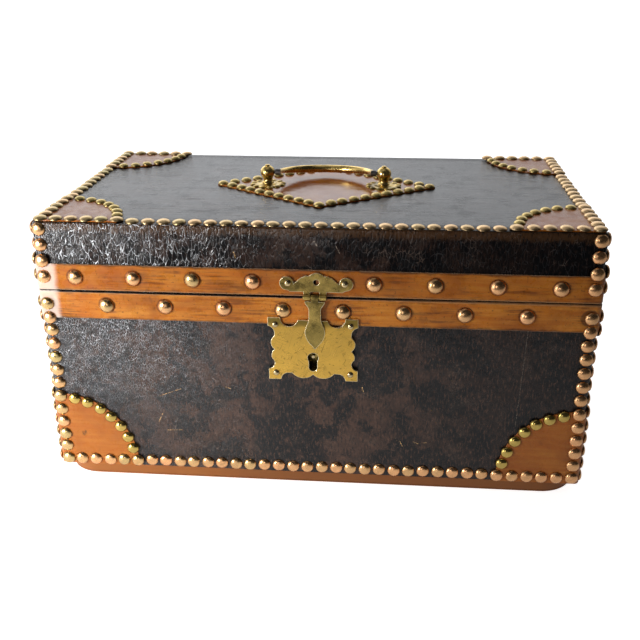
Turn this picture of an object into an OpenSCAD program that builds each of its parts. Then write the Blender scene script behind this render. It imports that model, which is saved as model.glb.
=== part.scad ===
// Leather document box. A wooden box is covered in black leather, with tan bands and patches,
// rows of dome nails, a brass box lock with a hasp, two butt hinges and a bail handle on the lid.
// Millimetres. X runs to the box's right, Y to its back and Z up. The origin is at the middle of the base.

/* [Box] */
// Width over the black leather
box_w = 350; // [300:1:420]
// Depth over the black leather
box_d = 200; // [170:1:260]
// Height of the body's rim above the table
body_h = 135.5; // [125:0.5:180]
// Height of the lid from its rim to its leather top
lid_h = 43.9; // [40:0.1:60]
// Gap between the two rims when the lid is shut
seam_gap = 0.6; // [0.4:0.1:1]
// Radius of the upright edges over the leather
edge_r = 2.5; // [2:0.1:5]

/* [Boards and leather] */
// Thickness of the wall boards and lid rails
board_t = 9; // [8:0.5:14]
// Thickness of the lid's top board
lid_board_t = 7.8; // [6:0.2:12]
// Height of the tan base strip, over its underside sheet and board
base_h = 7.5; // [6:0.5:12]
// Plan radius of the base's corners
base_r = 24; // [10:1:30]
// Thickness of the sheet under the base
base_sheet_t = 1; // [0.8:0.1:2]
// Thickness of the black leather and of the base's tan edging
leather_t = 1.2; // [0.8:0.1:2]
// Thickness of the cloth lining
lining_t = 0.7; // [0.5:0.1:1.5]

/* [Bands and patches] */
// Height of the tan band on the body
body_band_h = 18.7; // [14:0.1:24]
// Height of the tan band on the lid
lid_band_h = 17.4; // [16:0.1:24]
// Thickness of the bands
band_t = 1.4; // [1:0.1:2]
// Thickness of the corner and diamond patches
patch_t = 1; // [0.8:0.1:1.4]
// Radius of the corner patches' nail arcs about the corner nails
arc_r = 47; // [30:1:55]
// Half width of the diamond at its nails
diamond_w = 73; // [60:1:90]
// Half depth of the diamond at its nails
diamond_d = 53; // [40:1:65]
// Leather left outside a patch's nail line
patch_margin = 2.5; // [1.5:0.1:4]

/* [Nails] */
// Head diameter of the nails in the edge rows
nail_head = 8.8; // [7:0.1:9]
// Rise of the heads in the edge rows
nail_rise = 2.2; // [1.5:0.1:3]
// Spacing of the nails in the edge rows
nail_pitch = 9.7; // [9.2:0.1:14]
// Distance from a row of edge nails to the edge
row_inset = 4.6; // [4.6:0.1:6]
// Head diameter of the nails on the bands
band_head = 10; // [8:0.1:10.5]
// Rise of the heads on the bands
band_rise = 3; // [2:0.1:4]
// Spacing of the nails on the bands
band_pitch = 37.6; // [30:0.1:60]
// Distance from the seam to the nails on each band
band_nail_off = 9; // [8:0.1:10]
// Head diameter of the nails round the patches of the body
accent_head = 8.4; // [6:0.1:8.6]
// Head diameter of the nails round the patches of the lid's top
top_accent_head = 7.4; // [6:0.1:8.6]
// Rise of the heads round the patches
accent_rise = 2.3; // [1.5:0.1:3]
// Spacing of the nails round the patches
accent_pitch = 9; // [8.8:0.1:12]
// Shank diameter of every dome nail
shank_d = 1.6; // [1:0.1:2]
// Shank length of the nails away from the edges
shank_len = 7; // [5:0.5:8]
// Clipped shank length of the nails beside an edge
clipped_len = 3.4; // [2.5:0.1:3.5]

/* [Lid hinges] */
// Width of a hinge
hinge_w = 36; // [25:1:50]
// Distance from the box's middle to the middle of each hinge
hinge_x = 110; // [70:1:125]
// Distance of the hinge line inside the back leather
hinge_set = 1.5; // [1.2:0.1:2]
// Radius of the hinge knuckles
knuckle_r = 2; // [1.6:0.1:2.2]
// Radius of the hinge pins
hinge_pin_r = 0.8; // [0.6:0.05:1]
// Thickness of the hinge leaves
leaf_t = 1.1; // [0.8:0.1:1.5]
// Reach of a leaf from the hinge line into the box
leaf_reach = 7.6; // [6.5:0.1:8]
// Slope of the bevels on the two back rims, whose sum stops the lid
bevel_angle = 50; // [46:0.5:60]

/* [Lock] */
// Thickness of the lock plate
plate_t = 1.5; // [1:0.1:2]
// Drop from the body's rim to the middle of the keyhole's round top
keyhole_drop = 40.9; // [30:0.1:46]
// Radius of the keyhole's round top
keyhole_r = 3.4; // [2.8:0.1:4]
// Half width of the keyhole's slot
keyhole_slot = 2.6; // [2.4:0.1:3]
// Width of the lock case
case_w = 40; // [36:1:44]
// Depth of the lock case behind its plate
case_d = 9; // [8.6:0.1:9.4]
// Wall thickness of the lock case
case_t = 1; // [0.8:0.1:1.2]
// Travel of the bolt
bolt_throw = 6; // [5:0.5:7]
// Gap between pieces that pass each other
run_gap = 0.3; // [0.25:0.05:0.4]

/* [Hasp] */
// Distance of the hasp to the right of the lock's middle
hasp_x = 1.5; // [0:0.1:3]
// Length of the tongue below its hinge pin
tongue_len = 34.7; // [33:0.1:38]
// Thickness of the tongue
tongue_t = 1.6; // [1.2:0.1:2]
// Thickness of the hasp's upper plate
hasp_leaf_t = 1.5; // [1.2:0.1:2]
// Radius of the hasp's knuckles
hasp_knuckle_r = 1.9; // [1.7:0.05:2.1]
// Radius of the hasp's pin
hasp_pin_r = 0.7; // [0.5:0.05:0.9]
// Width of the hasp's upper plate over its ears
hasp_leaf_w = 45.6; // [43:0.2:48]
// Radius of the upper plate's ears
hasp_ear_r = 4.4; // [4:0.1:4.8]
// Width of the tongue's lobe
tongue_w = 12.8; // [12:0.1:13.6]
// Width of the hasp's knuckles together
hasp_knuckle_w = 14.4; // [12:0.2:16]
// Depth of the staple's eye centre behind the tongue
eye_depth = 5.3; // [5:0.1:5.6]
// Distance of the staple's eye centre below the hinge pin
eye_drop = 25.3; // [24:0.1:26]
// Thickness of the staple
staple_t = 2.2; // [1.8:0.1:2.6]

/* [Handle] */
// Distance between the middles of the two posts
post_span = 82; // [70:1:100]
// Height of the handle's pivot above the lid's leather
pivot_h = 10; // [9.5:0.1:14]
// Width of the ball on each post
ball_d = 10.3; // [9:0.1:12]
// Height of the ball on each post
ball_h = 9.2; // [8:0.1:9.6]
// Depth of the bail from its pivot to the middle of its grip
bail_reach = 29.7; // [24:0.1:40]
// Height of the resting grip's middle above the lid's leather
grip_rest_h = 6.1; // [5.4:0.1:9]
// Radius of the grip in its middle
grip_r = 2.8; // [2.2:0.1:3.2]
// Radius of the bail at its ends
bail_end_r = 1.75; // [1.5:0.05:2]
// Radius of the bail's pivots
pivot_r = 1.2; // [1:0.05:1.5]
// Radius of the rosettes between their petals
rosette_r = 11.4; // [10:0.1:12]
// Count of petals on a rosette
petals = 12; // [8:1:16]
// Radius of the threaded stem under each post
stem_r = 2; // [1.5:0.1:2.5]

/* [Hidden] */
$fn = 48;

running_gap = 0.05;
lid_z = body_h + seam_gap;
top_z = lid_z + lid_h;
wood_w = box_w - 2 * leather_t;
wood_d = box_d - 2 * leather_t;
wood_r = edge_r - leather_t;
room_w = wood_w - 2 * board_t;
room_d = wood_d - 2 * board_t;
board_z = base_h;
ceiling_z = top_z - leather_t - lid_board_t;
front_y = -box_d / 2;

// Hinge line of the lid
hinge_y = box_d / 2 - hinge_set;
hinge_z = body_h + seam_gap / 2;
knuckle_len = hinge_w / 5;
screw_x = 0.3 * hinge_w;
screw_y = hinge_y - leaf_reach / 2 - 0.8;
screw_len = 10;
screw_r = 1.1;
screw_head_r = 2.1;

// Nail rows
corner_x = box_w / 2 - row_inset;
corner_y = box_d / 2 - row_inset;
row_z = base_h + nail_head / 2;
body_nail_z = body_h - band_nail_off;
lid_nail_z = lid_z + band_nail_off;
top_nail_z = top_z - row_inset;
steps_x = round(2 * corner_x / nail_pitch);
steps_y = round(2 * corner_y / nail_pitch);
body_steps = round((body_nail_z - row_z) / nail_pitch);
lid_steps = round((top_nail_z - lid_nail_z) / nail_pitch);
arc_steps = round(arc_r * PI / 2 / accent_pitch);
diamond_steps = round(norm([diamond_w, diamond_d]) / accent_pitch);
patch_r = arc_r + patch_margin;
FRONT = 0;
RIGHT = 1;
BACK = 2;
LEFT = 3;
SIDES = [FRONT, RIGHT, BACK, LEFT];

// Hasp, staple and lock, worked down from the seam
band_face = front_y - band_t;
plate_back = band_face;
plate_face = plate_back - plate_t;
hasp_leaf_face = band_face - hasp_leaf_t;
leaf_shift = 0.8;
leaf_foot = lid_z + 3;
hasp_axis_y = band_face - run_gap - hasp_knuckle_r;
hasp_axis_z = lid_z + 0.2;
tongue_back = plate_face - 0.4;
eye_y = tongue_back + eye_depth;
eye_z = hasp_axis_z - eye_drop;
eye_r = 2.3;
staple_r = eye_r + 1.4;
staple_sweep = norm([eye_y - hasp_axis_y, eye_drop]) + staple_r;
slot_z = hasp_axis_z - staple_sweep - run_gap;
slot_half = staple_t / 2 + 0.5;
slot_back = eye_y + staple_r + 0.5;
case_back = plate_back + case_d;
keyhole_z = body_h - keyhole_drop;
case_z0 = keyhole_z - 11.4;
case_z1 = eye_z + staple_r + 0.5;
bolt_t = 2.4;
bolt_head_h = 2.6;
bolt_tip = hasp_x - staple_t / 2 - 1.2;
stud_r = 1.2;
stud_x = -5.5;
stud_z = eye_z - 7.6;
spring_t = 0.5;

// Lock plate outline
plate_w = 57.2;
plate_top = body_h - 13.5;
plate_bottom = keyhole_z - 15.8;

// Handle
pivot_z = top_z + pivot_h;
post_x = post_span / 2;
ball_r = ball_d / 2;
rest_angle = asin((pivot_h - grip_rest_h) / bail_reach);
collar_r = 2.1;
collar_len = 3.6;
collar_end = post_x - ball_r - run_gap;
bail_x = collar_end - bail_end_r - 0.4;
pivot_depth = 3.4;
rosette_t = 1.3;
rosette_z = top_z + patch_t;
washer_t = 0.8;
nut_t = 3;
nut_w = 7;
stem_end = ceiling_z - lining_t - washer_t - nut_t - 0.6;

BLACK = [0.1, 0.07, 0.06];
TAN = [0.62, 0.31, 0.11];
WOOD = [0.7, 0.55, 0.36];
LINING = [0.42, 0.1, 0.1];
COPPER = [0.72, 0.45, 0.28];
ACCENT = [0.72, 0.6, 0.22];
BRASS = [0.75, 0.58, 0.24];
OLD_BRASS = [0.5, 0.42, 0.2];
IRON = [0.22, 0.2, 0.19];

// Flat shapes
module rounded(w, d, r) {
    square([w - 2 * r, d], center = true);
    square([w, d - 2 * r], center = true);
    for (x = [-1, 1], y = [-1, 1]) translate([x * (w / 2 - r), y * (d / 2 - r)]) circle(r);
}

module ring(w, d, r, t) {
    difference() {
        rounded(w + 2 * t, d + 2 * t, r + t);
        rounded(w, d, r);
    }
}

module slab(z0, z1) {
    translate([0, 0, z0]) linear_extrude(z1 - z0) children();
}

// Extrudes a shape drawn in Y and Z along X, about the box's middle
module along_x(len) {
    translate([-len / 2, 0, 0]) rotate([90, 0, 90]) linear_extrude(len) children();
}

// Extrudes a shape drawn in X and Z along Y, from one Y to the other
module along_y(y0, y1) {
    translate([0, y1, 0]) rotate([90, 0, 0]) linear_extrude(y1 - y0) children();
}

module rod_x(r, x0, x1, y, z) {
    translate([x0, y, z]) rotate([0, 90, 0]) cylinder(r = r, h = x1 - x0);
}

module rod_y(r, y0, y1, x, z) {
    translate([x, y0, z]) rotate([-90, 0, 0]) cylinder(r = r, h = y1 - y0);
}

module box_at(x0, x1, y0, y1, z0, z1) {
    translate([x0, y0, z0]) cube([x1 - x0, y1 - y0, z1 - z0]);
}

// Places on the four walls and the top, where local +Z points out of the leather
module on_wall(side, u, z, out = 0) {
    reach = side % 2 == 0 ? box_d / 2 : box_w / 2;
    rotate([0, 0, 90 * side]) translate([u, -reach - out, z]) rotate([90, 0, 0]) children();
}

module on_top(x, y, out = 0) {
    translate([x, y, top_z + out]) children();
}

function half_row(side) = side % 2 == 0 ? corner_x : corner_y;

// Dome nail with its head's rim at local Z zero
module nail(head, rise, shank) {
    cap_r = (head * head / 4 + rise * rise) / (2 * rise);
    rotate_extrude() intersection() {
        translate([0, rise - cap_r]) circle(cap_r);
        square([head / 2, rise]);
    }
    tip = shank_d;
    translate([0, 0, tip - shank]) cylinder(d = shank_d, h = shank - tip);
    translate([0, 0, -shank]) cylinder(d1 = 0.4, d2 = shank_d, h = tip);
}

module edge_nail(len = clipped_len) {
    nail(nail_head, nail_rise, len);
}

module band_nail() {
    nail(band_head, band_rise, shank_len);
}

module accent_nail(head = accent_head) {
    nail(head, accent_rise, shank_len);
}

// Cuts for the hinges, the back bevels and the lock
module back_bevels() {
    run = hinge_set + band_t + band_rise;
    rise = run * tan(bevel_angle);
    along_x(box_w + 20) translate([hinge_y, hinge_z]) polygon([[0, 0], [run, rise], [run, -rise]]);
}

module hinge_pockets(z0, z1) {
    for (s = [-1, 1]) {
        x0 = s * hinge_x - hinge_w / 2;
        rod_x(knuckle_r + run_gap, x0 - run_gap, x0 + hinge_w + run_gap, hinge_y, hinge_z);
        box_at(x0, x0 + hinge_w, hinge_y - leaf_reach, hinge_y, z0, z1);
    }
}

module back_cuts() {
    back_bevels();
    hinge_pockets(body_h - leaf_t, lid_z + leaf_t);
}

// Open slot behind the tongue's neck, in which the staple swings out or rises with the lid
module staple_slot(z0) {
    box_at(hasp_x - slot_half, hasp_x + slot_half, plate_face - 1, slot_back, z0, body_h + 1);
}

module lock_mortise() {
    box_at(-case_w / 2, case_w / 2, plate_back, case_back, case_z0, case_z1);
}

// Base
module base_sheet() {
    color(BLACK) slab(0, base_sheet_t) rounded(box_w, box_d, base_r);
}

module base_board() {
    color(WOOD) slab(base_sheet_t, base_h) rounded(wood_w, wood_d, base_r - leather_t);
}

module base_edging() {
    color(TAN) slab(base_sheet_t, base_h) ring(wood_w, wood_d, base_r - leather_t, leather_t);
}

// Boards of the body
module wall_block(z0, z1) {
    slab(z0, z1) rounded(wood_w, wood_d, wood_r);
}

module body_walls(side) {
    intersection() {
        wall_block(board_z, body_h);
        board_zone(side);
    }
}

// Front and back boards run the whole width and the side boards stand between them
module board_zone(side) {
    if (side == FRONT) box_at(-box_w, box_w, -box_d, -room_d / 2, 0, top_z);
    if (side == BACK) box_at(-box_w, box_w, room_d / 2, box_d, 0, top_z);
    if (side == LEFT) box_at(-box_w, -room_w / 2, -room_d / 2, room_d / 2, 0, top_z);
    if (side == RIGHT) box_at(room_w / 2, box_w, -room_d / 2, room_d / 2, 0, top_z);
}

module front_board() {
    color(WOOD) difference() {
        body_walls(FRONT);
        lock_mortise();
        staple_slot(case_z1 - 1);
    }
}

module back_board() {
    color(WOOD) difference() {
        body_walls(BACK);
        back_cuts();
    }
}

module left_board() {
    color(WOOD) body_walls(LEFT);
}

module right_board() {
    color(WOOD) body_walls(RIGHT);
}

module body_leather() {
    color(BLACK) difference() {
        slab(board_z, body_h) ring(wood_w, wood_d, wood_r, leather_t);
        back_cuts();
        lock_mortise();
        staple_slot(case_z1 - 1);
    }
}

module body_band() {
    color(TAN) difference() {
        slab(body_h - body_band_h, body_h) ring(box_w, box_d, edge_r, band_t);
        back_bevels();
        staple_slot(case_z1 - 1);
        lock_mortise();
    }
}

module body_corner_patches() {
    color(TAN) intersection() {
        slab(board_z, row_z + patch_r + 1) ring(box_w, box_d, edge_r, patch_t);
        union() {
            for (side = SIDES, s = [-1, 1])
                on_wall(side, s * half_row(side), row_z, -edge_r)
                    cylinder(r = patch_r, h = edge_r + patch_t + 1);
        }
    }
}

module body_lining() {
    color(LINING) difference() {
        box_at(-room_w / 2, room_w / 2, -room_d / 2, room_d / 2, board_z, body_h);
        box_at(-room_w / 2 + lining_t, room_w / 2 - lining_t,
            -room_d / 2 + lining_t, room_d / 2 - lining_t, board_z + lining_t, body_h + 1);
    }
}

// Nails of the body
function patch_lift(dist) = dist < patch_r + nail_head / 2 ? patch_t : 0;
function body_lift(dist, z) = z > body_h - body_band_h - nail_head / 2 ? band_t : patch_lift(dist);
function lid_lift(z) = z < lid_z + lid_band_h + nail_head / 2 ? band_t : 0;

module bottom_row_nails() {
    color(COPPER) for (side = SIDES) {
        half = half_row(side);
        steps = side % 2 == 0 ? steps_x : steps_y;
        for (i = [0:steps]) {
            u = -half + i * 2 * half / steps;
            on_wall(side, u, row_z, patch_lift(half - abs(u))) edge_nail();
        }
    }
}

// The back's upper corner nails are left out, because the lid folds down on them
module body_column_nails() {
    step = (body_nail_z - row_z) / body_steps;
    color(COPPER) for (side = SIDES, s = [-1, 1], i = [1:body_steps - (side == BACK ? 1 : 0)]) {
        z = row_z + i * step;
        on_wall(side, s * half_row(side), z, body_lift(i * step, z)) edge_nail();
    }
}

// Places across a wall, clear of the corners: whole pitches from the middle, or half a pitch aside
function band_places(side, shift) = let (most = ceil(half_row(side) / band_pitch)) [
    for (k = [-most:most]) let (u = (k + shift) * band_pitch)
        if (abs(u) < half_row(side) - band_pitch / 3) u
];

module body_band_nails() {
    color(COPPER) for (side = SIDES, u = band_places(side, side % 2 == 0 ? 0.5 : 0))
        on_wall(side, u, body_nail_z, band_t) band_nail();
}

module body_arc_nails() {
    color(ACCENT) for (side = SIDES, s = [-1, 1], i = [1:arc_steps - 1]) {
        angle = i * 90 / arc_steps;
        on_wall(side, s * (half_row(side) - arc_r * cos(angle)), row_z + arc_r * sin(angle), patch_t)
            accent_nail();
    }
}

// Boards of the lid
module lid_top_board() {
    color(WOOD) difference() {
        wall_block(ceiling_z, top_z - leather_t);
        post_holes();
    }
}

module lid_rail(side) {
    intersection() {
        wall_block(lid_z, ceiling_z);
        board_zone(side);
    }
}

module lid_front_rail() {
    color(WOOD) lid_rail(FRONT);
}

module lid_back_rail() {
    color(WOOD) difference() {
        lid_rail(BACK);
        back_cuts();
    }
}

module lid_left_rail() {
    color(WOOD) lid_rail(LEFT);
}

module lid_right_rail() {
    color(WOOD) lid_rail(RIGHT);
}

module lid_leather() {
    color(BLACK) difference() {
        slab(lid_z, top_z) rounded(box_w, box_d, edge_r);
        wall_block(lid_z - 1, top_z - leather_t);
        back_cuts();
        post_holes();
    }
}

module lid_band() {
    color(TAN) difference() {
        slab(lid_z, lid_z + lid_band_h) ring(box_w, box_d, edge_r, band_t);
        back_bevels();
    }
}

module top_corner_patches() {
    color(TAN) slab(top_z, top_z + patch_t) intersection() {
        rounded(box_w, box_d, edge_r);
        union() for (x = [-1, 1], y = [-1, 1]) translate([x * corner_x, y * corner_y]) circle(patch_r);
    }
}

module diamond_patch() {
    grow = 1 + patch_margin * norm([1 / diamond_w, 1 / diamond_d]);
    w = diamond_w * grow;
    d = diamond_d * grow;
    color(TAN) difference() {
        slab(top_z, top_z + patch_t) polygon([[w, 0], [0, d], [-w, 0], [0, -d]]);
        post_holes();
    }
}

module lid_lining() {
    color(LINING) difference() {
        box_at(-room_w / 2, room_w / 2, -room_d / 2, room_d / 2, lid_z, ceiling_z);
        box_at(-room_w / 2 + lining_t, room_w / 2 - lining_t,
            -room_d / 2 + lining_t, room_d / 2 - lining_t, lid_z - 1, ceiling_z - lining_t);
        post_holes();
    }
}

// Nails of the lid
module top_row_nails() {
    step_x = 2 * corner_x / steps_x;
    step_y = 2 * corner_y / steps_y;
    back_count = floor(patch_r / step_x);
    color(COPPER) {
        for (i = [0:steps_x]) {
            x = -corner_x + i * step_x;
            on_top(x, -corner_y, patch_lift(corner_x - abs(x))) edge_nail();
        }
        for (s = [-1, 1], i = [1:steps_y]) {
            y = -corner_y + i * step_y;
            on_top(s * corner_x, y, patch_lift(corner_y - abs(y))) edge_nail();
        }
        for (s = [-1, 1], i = [1:back_count])
            on_top(s * (corner_x - i * step_x), corner_y, patch_t) edge_nail();
    }
}

module lid_column_nails() {
    step = (top_nail_z - lid_nail_z) / lid_steps;
    color(COPPER) for (side = SIDES, s = [-1, 1], i = [0:lid_steps - (side == BACK ? 1 : 0)]) {
        z = top_nail_z - i * step;
        on_wall(side, s * half_row(side), z, lid_lift(z)) edge_nail();
    }
}

// No nail stands behind the hasp
module lid_band_nails() {
    color(COPPER) for (side = SIDES, u = band_places(side, side % 2 == 0 ? 0 : 0.5))
        if (side != FRONT || abs(u) > band_pitch / 2) on_wall(side, u, lid_nail_z, band_t) band_nail();
}

module top_arc_nails() {
    color(ACCENT) for (x = [-1, 1], y = [-1, 1], i = [1:arc_steps - 1]) {
        angle = i * 90 / arc_steps;
        along = corner_x - arc_r * cos(angle);
        across = corner_y - arc_r * sin(angle);
        on_top(x * along, y * across, patch_t) accent_nail(top_accent_head);
    }
}

module diamond_nails() {
    color(ACCENT) for (x = [-1, 1], i = [0:diamond_steps - 1]) {
        share = i / diamond_steps;
        on_top(x * diamond_w * (1 - share), x * diamond_d * share, patch_t) accent_nail(top_accent_head);
        on_top(x * diamond_w * share, -x * diamond_d * (1 - share), patch_t) accent_nail(top_accent_head);
    }
}

// Lid hinges: the body's leaves carry three knuckles and the lid's carry two
module hinge_half(z0, z1, mine, screw_from) {
    for (s = [-1, 1]) translate([s * hinge_x, 0, 0]) difference() {
        union() {
            box_at(-hinge_w / 2, hinge_w / 2, hinge_y - leaf_reach, hinge_y, z0, z1);
            for (k = [0:4]) if (k % 2 == mine) knuckle(k, knuckle_r, 0);
        }
        for (k = [0:4]) if (k % 2 != mine) knuckle(k, knuckle_r + run_gap, run_gap);
        rod_x(hinge_pin_r + (mine == 0 ? 0 : running_gap), -hinge_w, hinge_w, hinge_y, hinge_z);
        for (x = [-1, 1]) translate([x * screw_x, screw_y, screw_from])
            rotate([screw_from > hinge_z ? 180 : 0, 0, 0]) screw_shape();
    }
}

module knuckle(k, r, grow) {
    x0 = -hinge_w / 2 + k * knuckle_len;
    rod_x(r, x0 - grow, x0 + knuckle_len + grow, hinge_y, hinge_z);
}

// Countersunk screw with its head's face at local Z zero and its point down
module screw_shape() {
    head = 0.8 * leaf_t;
    translate([0, 0, -head]) cylinder(r1 = screw_r, r2 = screw_head_r, h = head);
    translate([0, 0, 1.5 - screw_len]) cylinder(r = screw_r, h = screw_len - 1.5);
    translate([0, 0, -screw_len]) cylinder(r1 = 0.2, r2 = screw_r, h = 1.5);
}

module body_hinge_leaves() {
    color(BRASS) hinge_half(body_h - leaf_t, body_h, 0, body_h);
}

module lid_hinge_leaves() {
    color(BRASS) hinge_half(lid_z, lid_z + leaf_t, 1, lid_z);
}

module hinge_pins() {
    color(BRASS) for (s = [-1, 1])
        rod_x(hinge_pin_r, s * hinge_x - hinge_w / 2, s * hinge_x + hinge_w / 2, hinge_y, hinge_z);
}

module body_hinge_screws() {
    color(BRASS) for (s = [-1, 1], x = [-1, 1])
        translate([s * hinge_x + x * screw_x, screw_y, body_h]) screw_shape();
}

module lid_hinge_screws() {
    color(BRASS) for (s = [-1, 1], x = [-1, 1])
        translate([s * hinge_x + x * screw_x, screw_y, lid_z]) rotate([180, 0, 0]) screw_shape();
}

// Lock plate outline in X and Z: eared corners, two bulges on each side and two lobes below
module plate_outline() {
    half = plate_w / 2;
    side = half - 4.1;
    middle = (plate_top + plate_bottom) / 2;
    rise = 4.7;
    difference() {
        union() {
            translate([-side, plate_bottom + rise])
                square([2 * side, plate_top - plate_bottom - rise - 1.4]);
            for (s = [-1, 1]) {
                translate([s > 0 ? half - 13.6 : -half, plate_top - 10.8])
                    square([13.6, 10.8]);
                translate([s > 0 ? half - 12.7 : -half, plate_bottom]) square([12.7, 11.6]);
                translate([s * (half - 7.7), middle + 4.2]) circle(6);
                translate([s * (half - 8), middle - 5]) circle(6);
                translate([s * 6.4, plate_bottom + 10.2]) circle(9);
            }
        }
        for (s = [-1, 1]) {
            translate([s * (half - 13.7), plate_top - 0.4]) circle(5.5);
            translate([s * (half - 12.7), plate_bottom]) circle(rise);
            translate([s * (half + 0.9), plate_top - 10.8]) circle(5);
            translate([s * (half + 0.1), plate_bottom + 11.6]) circle(4);
        }
    }
}

module keyhole_outline() {
    drop = 6.6;
    translate([0, keyhole_z]) circle(keyhole_r);
    translate([-keyhole_slot, keyhole_z - drop]) square([2 * keyhole_slot, drop]);
    translate([0, keyhole_z - drop]) circle(keyhole_slot);
}

module lock_plate() {
    color(BRASS) difference() {
        along_y(plate_face, plate_back) difference() {
            plate_outline();
            keyhole_outline();
        }
        staple_slot(slot_z);
    }
}

module plate_nail() {
    nail(4.2, 1.3, shank_len);
}

module lock_plate_nails() {
    inset = 4.8;
    color(BRASS) for (s = [-1, 1], z = [plate_bottom + inset, plate_top - inset])
        on_wall(FRONT, s * (plate_w / 2 - inset), z, band_t + plate_t) plate_nail();
}

// Open-fronted case with the stud that guides the bolt
module lock_case() {
    color(OLD_BRASS) {
        difference() {
            lock_mortise();
            box_at(-case_w / 2 + case_t, case_w / 2 - case_t, plate_back - 1, case_back - case_t,
                case_z0 + case_t, case_z1 - case_t);
            staple_slot(case_z1 - 2 * case_t);
        }
        rod_y(stud_r, eye_y - bolt_t, case_back - case_t, stud_x, stud_z);
        rod_y(stud_r + 1.2, eye_y + bolt_t / 2 + run_gap, case_back - case_t, stud_x, stud_z);
    }
}

module drill_pin() {
    color(BRASS) rod_y(1, plate_back + 0.4, case_back - case_t, 0, keyhole_z);
}

// Bolt: a slotted tail with a notch for the key, and a head bar that enters the staple's eye
module lock_bolt() {
    tail_z0 = eye_z - 10.2;
    tail_z1 = slot_z - 0.7;
    slot_w = 2 * (stud_r + running_gap);
    left = stud_x - bolt_throw - slot_w / 2 - 2.8;
    head_z0 = eye_z - bolt_head_h / 2;
    head_z1 = eye_z + bolt_head_h / 2;
    color(OLD_BRASS) along_y(eye_y - bolt_t / 2, eye_y + bolt_t / 2) difference() {
        union() {
            translate([left, tail_z0]) square([20, tail_z1 - tail_z0]);
            translate([left, tail_z0]) square([7, head_z1 - tail_z0]);
            translate([left, head_z0]) square([bolt_tip - left, bolt_head_h]);
        }
        translate([stud_x, stud_z]) {
            circle(d = slot_w);
            translate([-bolt_throw, 0]) circle(d = slot_w);
            translate([-bolt_throw, -slot_w / 2]) square([bolt_throw, slot_w]);
        }
        translate([1, tail_z0]) square([3.4, 4.6], center = true);
    }
}

// Flat spring that bears down beside the bolt
module lock_spring() {
    x0 = -case_w / 2 + case_t;
    z = case_z1 - case_t - 1.4;
    dip = eye_z + bolt_head_h / 2 + run_gap;
    color(IRON) along_y(eye_y - 1, eye_y + 1) polygon([
        [x0, z], [x0 + 4, z], [x0 + 9, dip], [x0 + 11, dip], [x0 + 13, dip + 0.5],
        [x0 + 13, dip + 0.5 + spring_t], [x0 + 10.8, dip + spring_t], [x0 + 9.2, dip + spring_t],
        [x0 + 4.2, z + spring_t], [x0, z + spring_t]
    ]);
}

// Hasp leaf in X and Z about its own middle: two round ears, sloping wings and a crest
module hasp_leaf_outline() {
    ear_x = hasp_leaf_w / 2 - hasp_ear_r;
    wing = 6.6;
    difference() {
        union() {
            for (s = [-1, 1]) translate([s * ear_x, 5.9]) circle(hasp_ear_r);
            translate([0.3, 6.7]) circle(6.3);
            polygon([
                [-ear_x, 1.6], [2 - ear_x, 0.4], [ear_x - 2, 0.4], [ear_x, 1.6],
                [ear_x - 3, 4.6], [wing + 3.2, 9.7], [wing, 11.1], [-wing, 11.1], [-wing - 3.2, 9.5],
                [3 - ear_x, 4.6]
            ]);
        }
        for (s = [-1, 1]) translate([s * (wing - 1.4), 12]) circle(1.1);
        translate([0, 6.8]) circle(1.8);
    }
}

// The leaf carries the two outer knuckles and the tongue carries the middle one
module hasp_leaf() {
    half = hasp_knuckle_w / 2;
    inner = half / 3 + 0.1 + run_gap / 2;
    color(OLD_BRASS) translate([hasp_x, 0, 0]) difference() {
        union() {
            along_y(hasp_leaf_face, band_face) translate([leaf_shift, leaf_foot]) hasp_leaf_outline();
            for (x = [-half, inner]) {
                box_at(x, x + half - inner, hasp_leaf_face, band_face, hasp_axis_z + 0.5, leaf_foot + 1);
                rod_x(hasp_knuckle_r, x, x + half - inner, hasp_axis_y, hasp_axis_z);
            }
        }
        rod_x(hasp_pin_r, -half - 1, half + 1, hasp_axis_y, hasp_axis_z);
    }
}

module hasp_nails() {
    ear_x = hasp_leaf_w / 2 - hasp_ear_r - 0.8;
    color(OLD_BRASS) for (s = [-1, 1])
        on_wall(FRONT, hasp_x + leaf_shift + s * ear_x, leaf_foot + 6.1, band_t + hasp_leaf_t)
            nail(4.6, 1.5, shank_len);
}

module hasp_pin() {
    color(OLD_BRASS)
        rod_x(hasp_pin_r, hasp_x - hasp_knuckle_w / 2, hasp_x + hasp_knuckle_w / 2, hasp_axis_y, hasp_axis_z);
}

// Tongue's edge below the pin: two curves in to the waist and out to the lobe, then the lobe's end
function eased(a, b, t) = a + (b - a) * (1 - cos(180 * t)) / 2;
tongue_top = hasp_knuckle_r + run_gap + 0.05;
tongue_waist = 0.3 * tongue_w;
WAIST = [
    [tongue_top, tongue_w / 2], [0.23 * tongue_len, tongue_waist],
    [0.39 * tongue_len, tongue_waist], [0.66 * tongue_len, tongue_w / 2]
];
tongue_edge = concat(
    [for (i = [0:2], t = [0:5])
        let (a = WAIST[i], b = WAIST[i + 1], s = t / 6) [eased(a[1], b[1], s), -(a[0] + (b[0] - a[0]) * s)]],
    [for (t = [0:0.1:0.91]) [tongue_w / 2 * pow(cos(90 * t), 0.6), -(0.66 + 0.3 * t) * tongue_len]],
    [[1.2, 1.3 - tongue_len], [0.6, 0.3 - tongue_len]]
);

module tongue_outline() {
    left = [for (i = [len(tongue_edge) - 1:-1:0]) [-tongue_edge[i][0], tongue_edge[i][1]]];
    polygon(concat(tongue_edge, [[0, -tongue_len]], left));
}

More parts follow.
